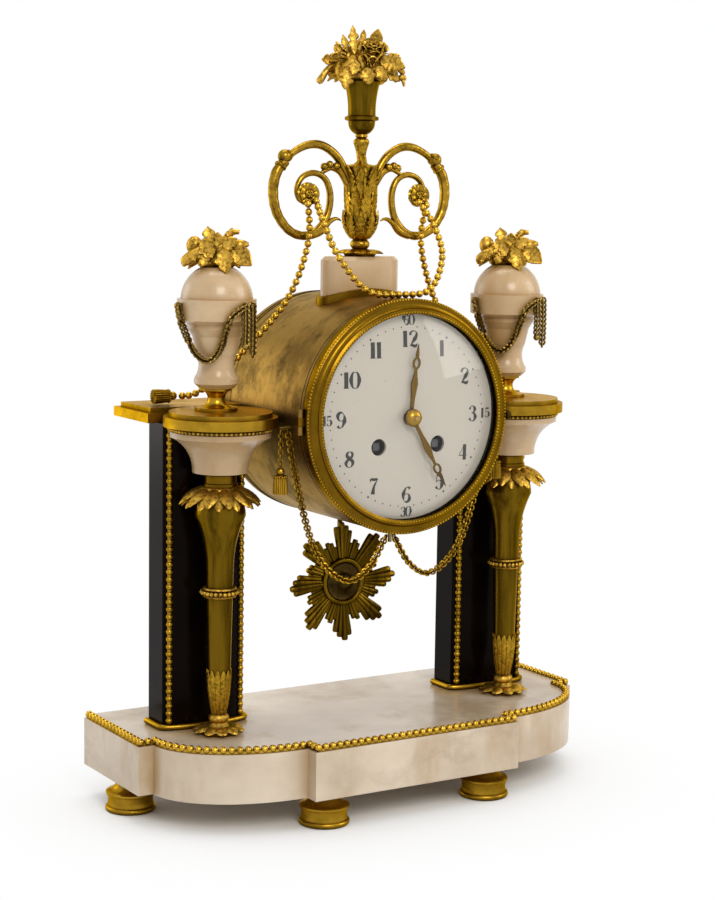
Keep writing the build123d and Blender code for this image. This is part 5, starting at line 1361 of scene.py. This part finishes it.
@dataclass
class Chains(Ornament):
    """Link chains, ball chains and tassels."""

    link: float = 1.75
    wire: float = 0.5
    ball: float = 2.1
    ball_pitch: float = 4.55
    thread: float = 0.85
    hook_y: float = -28.0
    hook_z: float = 285.5
    tassel_x: float = 71.7
    tassel_z: float = 197.0
    tassel_drop: float = 20.0

    def links(self, shape: Shape, points: Sequence[Any], size: float = 1.0, pitch: float = 1.62,
              stout: float = 1.0) -> None:
        """Hangs a chain of round links along points.

        Args:
            shape: the piece it joins.
            points: the points it passes.
            size: the links' size against the common one.
            pitch: how far apart the links are, in link radii.
            stout: the wire's thickness against the common one.
        """
        big, thin = self.link * size, self.wire * size * stout
        ring = [(big + out, up) for out, up in circle(5, thin)]
        places = []
        for index, (place, ahead) in enumerate(walk(points, pitch * big)):
            turn = ahead.to_track_quat("X", "Z").to_matrix().to_4x4()
            roll = Matrix.Rotation(radians(40 + 90 * (index % 2)), 4, "X")
            places.append(Matrix.Translation(place) @ turn @ roll)
        shape.add(turned(ring, 9, True), *places)

    def strand(self, shape: Shape, points: Sequence[Triple]) -> None:
        """Hangs a string of balls on a thread."""
        shape.balls(spots(points, self.ball_pitch), self.ball)
        shape.bar(spots(points, 1.5), self.thread, sides=7)

    def drum_route(self, side: int) -> list[Triple]:
        """The way of a drum chain from the side hook to the bottom hook."""
        half = ((67.5, 216.9), (60, 182), (50.5, 152), (40, 137), (26, 130), (13, 137.5), (3, 153))
        return [(side * x, self.hook_y, z) for x, z in half]

    def on_urn(self, side: int, across: float, drop: float, reach: float) -> Triple:
        """A point that shows right of an urn's middle, a drop below its hooks and a reach from its axis."""
        turn = radians(VIEW_TURN) + asin(across / reach)
        return side * PILLAR_X + reach * sin(turn), URN_Y - reach * cos(turn), self.hook_z - drop

    def urn_chain(self, shape: Shape, side: int) -> None:
        """Hangs the front swag and the two loose ends of an urn's chain.

        Args:
            shape: the piece it joins.
            side: -1 for the left urn, 1 for the right one.
        """
        chain = {"size": 0.92, "pitch": 0.85, "stout": 1.5}
        swag = (
            (-19.9, 0.5, 23.95), (-18.4, 8.0, 23.9), (-17.0, 12.5, 21.8), (-13.9, 20.5, 17.5),
            (-9.6, 27.2, 15.4), (-3.8, 30.2, 14.8), (1.3, 26.4, 15.4), (4.6, 19.7, 17.5), (6.8, 12.5, 21.8),
            (8.4, 8.0, 23.9), (10.6, 4.6, 24.1), (14.7, 1.3, 24.1), (18.2, 0.0, 23.95))
        self.links(shape, [self.on_urn(side, *spot) for spot in swag], **chain)
        for across, long, end_ball in ((20.5, 26.0, False), (16.8, 20.0, True)):
            x, y, z = self.on_urn(side, across, 0.0, 24.1)
            self.links(shape, [(x, y, z), (x, y - 0.4, z - long / 2), (x, y, z - long)], **chain)
            if end_ball:
                shape.balls([(x, y, z - long - 1.6)], 2.0)

    def tassel(self, shape: Shape, place: Matrix) -> None:
        """Adds a fringed tassel that hangs down from its place.

        Args:
            shape: the piece it joins.
            place: where it hangs.
        """
        part = turned(outline([
            (0, -14), (4.1, -14), ((4.0, -10), (3.5, -5.6)), ((3.0, -4.4), (1.9, -3.8)), (0, -3.6)]), 72)
        for vert in part.verts:
            if hypot(vert.co.x, vert.co.y) > 3:
                strand = abs(sin(9 * atan2(vert.co.y, vert.co.x)))
                vert.co.xy *= 1 - 0.10 * (1 - strand)
                vert.co.z -= 0.5 * strand if vert.co.z < -13.9 else 0.0
        shape.add(part, place)
        shape.balls([place @ Vector((0, 0, -2.1))], 2.4)
        shape.balls([place @ Vector((right, deep, -4.9)) for right, deep in circle(14, 3.3)], 0.75, sides=6)

    def build(self) -> None:
        """Makes all chains and tassels."""
        drum, urns, balls, tassels = Shape(), Shape(), Shape(), Shape()
        for side in SIDES:
            self.links(drum, self.drum_route(side), pitch=1.2, stout=1.15)
            self.urn_chain(urns, side)
            self.strand(balls, [(side * x, y, z) for x, y, z in (
                (39.6, 0.5, 340.3), (38, 3, 318), (50, 6, 286), (78, 14, 253), (94.5, 25, 235.2),
                (100.7, 34, 232))])
            low = (side * self.tassel_x, self.hook_y, self.tassel_z)
            self.tassel(tassels, about(*low))
            self.links(tassels, [low, (*low[:2], self.tassel_z + self.tassel_drop)], size=0.8)
            self.tassel(tassels, about(side * 103.5, 36, 232, tilt=-side * 90))
        half = [(34.4, 0.5, 341.8), (36.4, -11.5, 330), (34.5, -24.5, 312), (21, -33, 293.6)]
        self.strand(balls, half + [(0, -33, 290.95)] + [(-x, y, z) for x, y, z in reversed(half)])
        drum.piece("drum_chains", self.finishes.cast_gilt, Slot.GILT)
        urns.piece("urn_chains", self.finishes.dark_gilt, Slot.OLD_BRASS, stands_for=["link_chains"])
        balls.piece("ball_strings", self.finishes.bead_gilt, Slot.GILT, stands_for=["ball_chains"])
        tassels.piece("fringed_tassels", self.finishes.plate_gilt, Slot.GILT, stands_for=["tassels"])


@dataclass
class Drum(Ornament):
    """The turned lines near the back rim of the drum."""

    radius: float = 65.5
    lines: Pair = (49.3, 52.3)
    half: float = 0.4
    proud: float = 0.25
    sunk: float = 0.2

    def build(self) -> None:
        """Makes the dark lines."""
        shape = Shape()
        turn = about(0, 0, DRUM_AXIS) @ Matrix.Rotation(-pi / 2, 4, "X")
        low, high = self.radius - self.sunk, self.radius + self.proud
        for y in self.lines:
            strip = [(low, y - self.half), (high, y - self.half / 2), (high, y + self.half / 2),
                     (low, y + self.half)]
            shape.lathe(strip, turn, 128, closed=True)
        shape.piece("drum_lines", self.finishes.shadow_brass, Slot.OLD_BRASS)


@dataclass
class Pendulum(Ornament):
    """The sunburst bob."""

    middle: float = 118.7
    back: float = 25.25
    front: float = 23.2
    radius: float = 35.5
    root: float = 11.4
    boss: float = 12.4
    bundles: int = 8
    plump: float = 1.75
    clip_x: float = 3.0
    clip_y: float = 26.8
    clip_size: Triple = (2.4, 3, 12)

    def reeds(self, shape: Shape) -> None:
        """Adds the reeds, in bundles of a long ray and a short one.

        Args:
            shape: the piece they join.
        """
        bundle = ((0.86, 0.4), (0.94, 0.9), (1.0, 1.3), (0.93, 0.8), (0.60, 0.0), (0.69, 0.5), (0.73, 0.9),
                  (0.66, 0.3))
        count = self.bundles * len(bundle)
        step = tau / count
        half = step / 2 * self.plump
        for index in range(count):
            share, proud = bundle[index % len(bundle)]
            turn = pi / 2 + step * (index - 1.5)
            length = self.radius * share - self.root
            run = [self.root + length * part for part in (0, 0.4, 0.8, 0.96, 1.0)]
            points = [(r * cos(turn), self.front + 0.4 - proud, self.middle + r * sin(turn)) for r in run]
            shape.bar(points, lambda part, length=length: (
                half * (self.root + length * min(part, 0.5)) * (1.0 if part < 0.98 else 0.8)), sides=8)

    def build(self) -> None:
        """Makes the bob of bundled reeds round a domed boss, with its clips at the back."""
        shape, hub = Shape(), Shape()
        self.reeds(shape)
        place = facing(0, self.front, self.middle)
        back, boss = self.front - self.back, self.boss
        shape.lathe([
            (0, back), (boss + 2, back), (boss + 2, 0.6), ((boss + 1.2, 2.6), (boss - 0.6, 2.4)),
            (boss - 1.4, 1.0), (0, 1.0)], place)
        hub.lathe([(0, 1.0), (boss - 1.4, 1.0), (boss - 1.5, 1.6), ((8.0, 1.2), (5.2, 2.4)),
                   ((3.4, 4.0), (0, 4.4))], place, 40)
        for side in SIDES:
            part = bmesh.new()
            bmesh.ops.create_cube(part, size=1.0, matrix=Matrix.Diagonal((*self.clip_size, 1)))
            shape.add(part, Matrix.Translation((side * self.clip_x, self.clip_y, self.middle)))
        shape.piece("sunburst", self.finishes.shaft_gilt, Slot.GILT, Body.PENDULUM, ["pendulum_bob"])
        hub.piece("sunburst_hub", self.finishes.hub_brass, Slot.GILT, Body.PENDULUM)


@dataclass
class Studio:
    """Pale floor, soft lights and the camera."""

    eye: Triple = (-0.61085, -0.97875, 0.34831)
    turn: float = -31.7545
    tilt: float = 7.3449
    roll: float = 0.8594
    lens: float = 80.60
    sensor: float = 36.0
    floor_radius: float = 14.0
    shadow_reach: float = 0.10
    middle: Triple = (0.0, 0.0, 0.22)
    fill: float = 0.42

    def camera(self) -> None:
        """Places the camera."""
        data = bpy.data.cameras.new("camera")
        data.sensor_width = self.sensor
        data.lens = self.lens
        data.clip_start = 0.01
        eye = bpy.data.objects.new("camera", data)
        bpy.context.scene.collection.objects.link(eye)
        eye.matrix_world = (
            Matrix.Translation(self.eye) @ Matrix.Rotation(radians(self.turn), 4, "Z")
            @ Matrix.Rotation(radians(90 - self.tilt), 4, "X") @ Matrix.Rotation(radians(self.roll), 4, "Z"))
        bpy.context.scene.camera = eye

    def floor(self) -> None:
        """Lays the floor, which is plain white but for the shadow near the clock."""
        bm = bmesh.new()
        bmesh.ops.create_circle(bm, cap_ends=True, segments=64, radius=self.floor_radius)
        mesh = bpy.data.meshes.new("floor")
        bm.to_mesh(mesh)
        bm.free()
        floor = bpy.data.objects.new("floor", mesh)
        bpy.context.scene.collection.objects.link(floor)
        paint = Paint("floor")
        first, *others = (paint.node("ShaderNodeLightPath", output=ray) for ray in SEEN_RAYS)
        far = paint.ramp(paint.shade(self.shadow_reach), 0.25, 0.95)
        glow = {"Color": (1.0, 1.0, 1.0), "Strength": 1.0}
        white = paint.node("ShaderNodeEmission", inputs=glow, output="Emission")
        blend = paint.node("ShaderNodeMixShader", inputs={
            0: sum(others, first).clamp() * far, 1: Value(paint.tree, paint.shader.outputs[0]), 2: white})
        paint.feed(paint.tree.nodes["Material Output"].inputs["Surface"], blend)
        mesh.materials.append(paint.set(Base_Color=(0.86, 0.86, 0.85), Roughness=0.7))

    def lamp(self, name: str, place: Triple, size: float, power: float, colour: Triple) -> None:
        """Hangs one soft lamp that faces the clock.

        Args:
            name: the lamp's name.
            place: where it hangs, in metres.
            size: the side of its square, in metres.
            power: its power in watts.
            colour: its colour.
        """
        data = bpy.data.lights.new(name, "AREA")
        data.size = size
        data.energy = power
        data.color = colour
        lamp = bpy.data.objects.new(name, data)
        bpy.context.scene.collection.objects.link(lamp)
        lamp.location = place
        lamp.rotation_euler = (Vector(self.middle) - Vector(place)).to_track_quat("-Z", "Y").to_euler()

    def lights(self) -> None:
        """Hangs the lamps and sets the world."""
        self.lamp("key", (-0.45, -1.65, 1.35), size=0.8, power=17.0, colour=(1.0, 0.97, 0.92))
        self.lamp("side", (1.5, -0.9, 0.9), size=0.9, power=9.0, colour=(1.0, 0.98, 0.95))
        self.lamp("top", (0.1, 0.35, 1.6), size=0.9, power=9.0, colour=(1.0, 0.99, 0.97))
        self.lamp("back", (-0.95, 1.35, 0.45), size=1.0, power=5.5, colour=(1.0, 0.96, 0.92))
        world = bpy.data.worlds.new("studio")
        bpy.context.scene.world = world
        world.use_nodes = True
        tree = world.node_tree
        path = tree.nodes.new("ShaderNodeLightPath")
        first, *others = (Value(tree, path.outputs[ray]) for ray in SEEN_RAYS)
        strength = sum(others, first).clamp() * (1 - self.fill) + self.fill
        tree.nodes["Background"].inputs["Color"].default_value = (1.0, 1.0, 1.0, 1.0)
        tree.links.new(strength.socket, tree.nodes["Background"].inputs["Strength"])

    def build(self) -> None:
        """Sets up the whole studio."""
        bpy.context.scene.view_settings.view_transform = "Standard"
        self.floor()
        self.lights()
        self.camera()


def dress_nodes(finishes: Finishes) -> None:
    """Gives every node of the frame its finish.

    Args:
        finishes: the clock's finishes.
    """
    by_slot = {
        Slot.CREAM: finishes.cream, Slot.BLACK: finishes.black, Slot.GILT: finishes.gilt,
        Slot.OLD_BRASS: finishes.dark_gilt, Slot.ENAMEL: finishes.enamel, Slot.GLASS: finishes.glass,
        Slot.BELL: finishes.bell, Slot.BRASS: finishes.brass, Slot.STEEL: finishes.steel}
    special = {
        "base_slab": finishes.white, "capitals": finishes.shaded,
        **dict.fromkeys(("drum_case", "back_door"), finishes.drum_brass),
        **dict.fromkeys(("columns", "finial_cup", "pendulum_rod"), finishes.shaft_gilt),
        **dict.fromkeys(("plinth_moulding", "bezel", "hour_hand", "minute_hand"), finishes.plain_gilt),
        **dict.fromkeys(("hand_nut", "left_entablature", "right_entablature"), finishes.plate_gilt)}
    for part in frame["record"]["subparts"]:
        mesh = frame["nodes"][part["node"]].data
        mesh.materials.clear()
        mesh.materials.append(special.get(part["node"], by_slot[Slot(part["material_slot"])]))
    LOG.info("dressed %d nodes", len(frame["nodes"]))


def main() -> None:
    """Builds the clock's looks in order."""
    logging.basicConfig(level=logging.INFO, format="%(message)s")
    finishes = Finishes()
    Studio().build()
    dress_nodes(finishes)
    for group in (Base, Pillars, Urns, Drum, Dial, Crown, Chains, Pendulum):
        group(finishes).build()


if __name__ == "__main__":
    main()
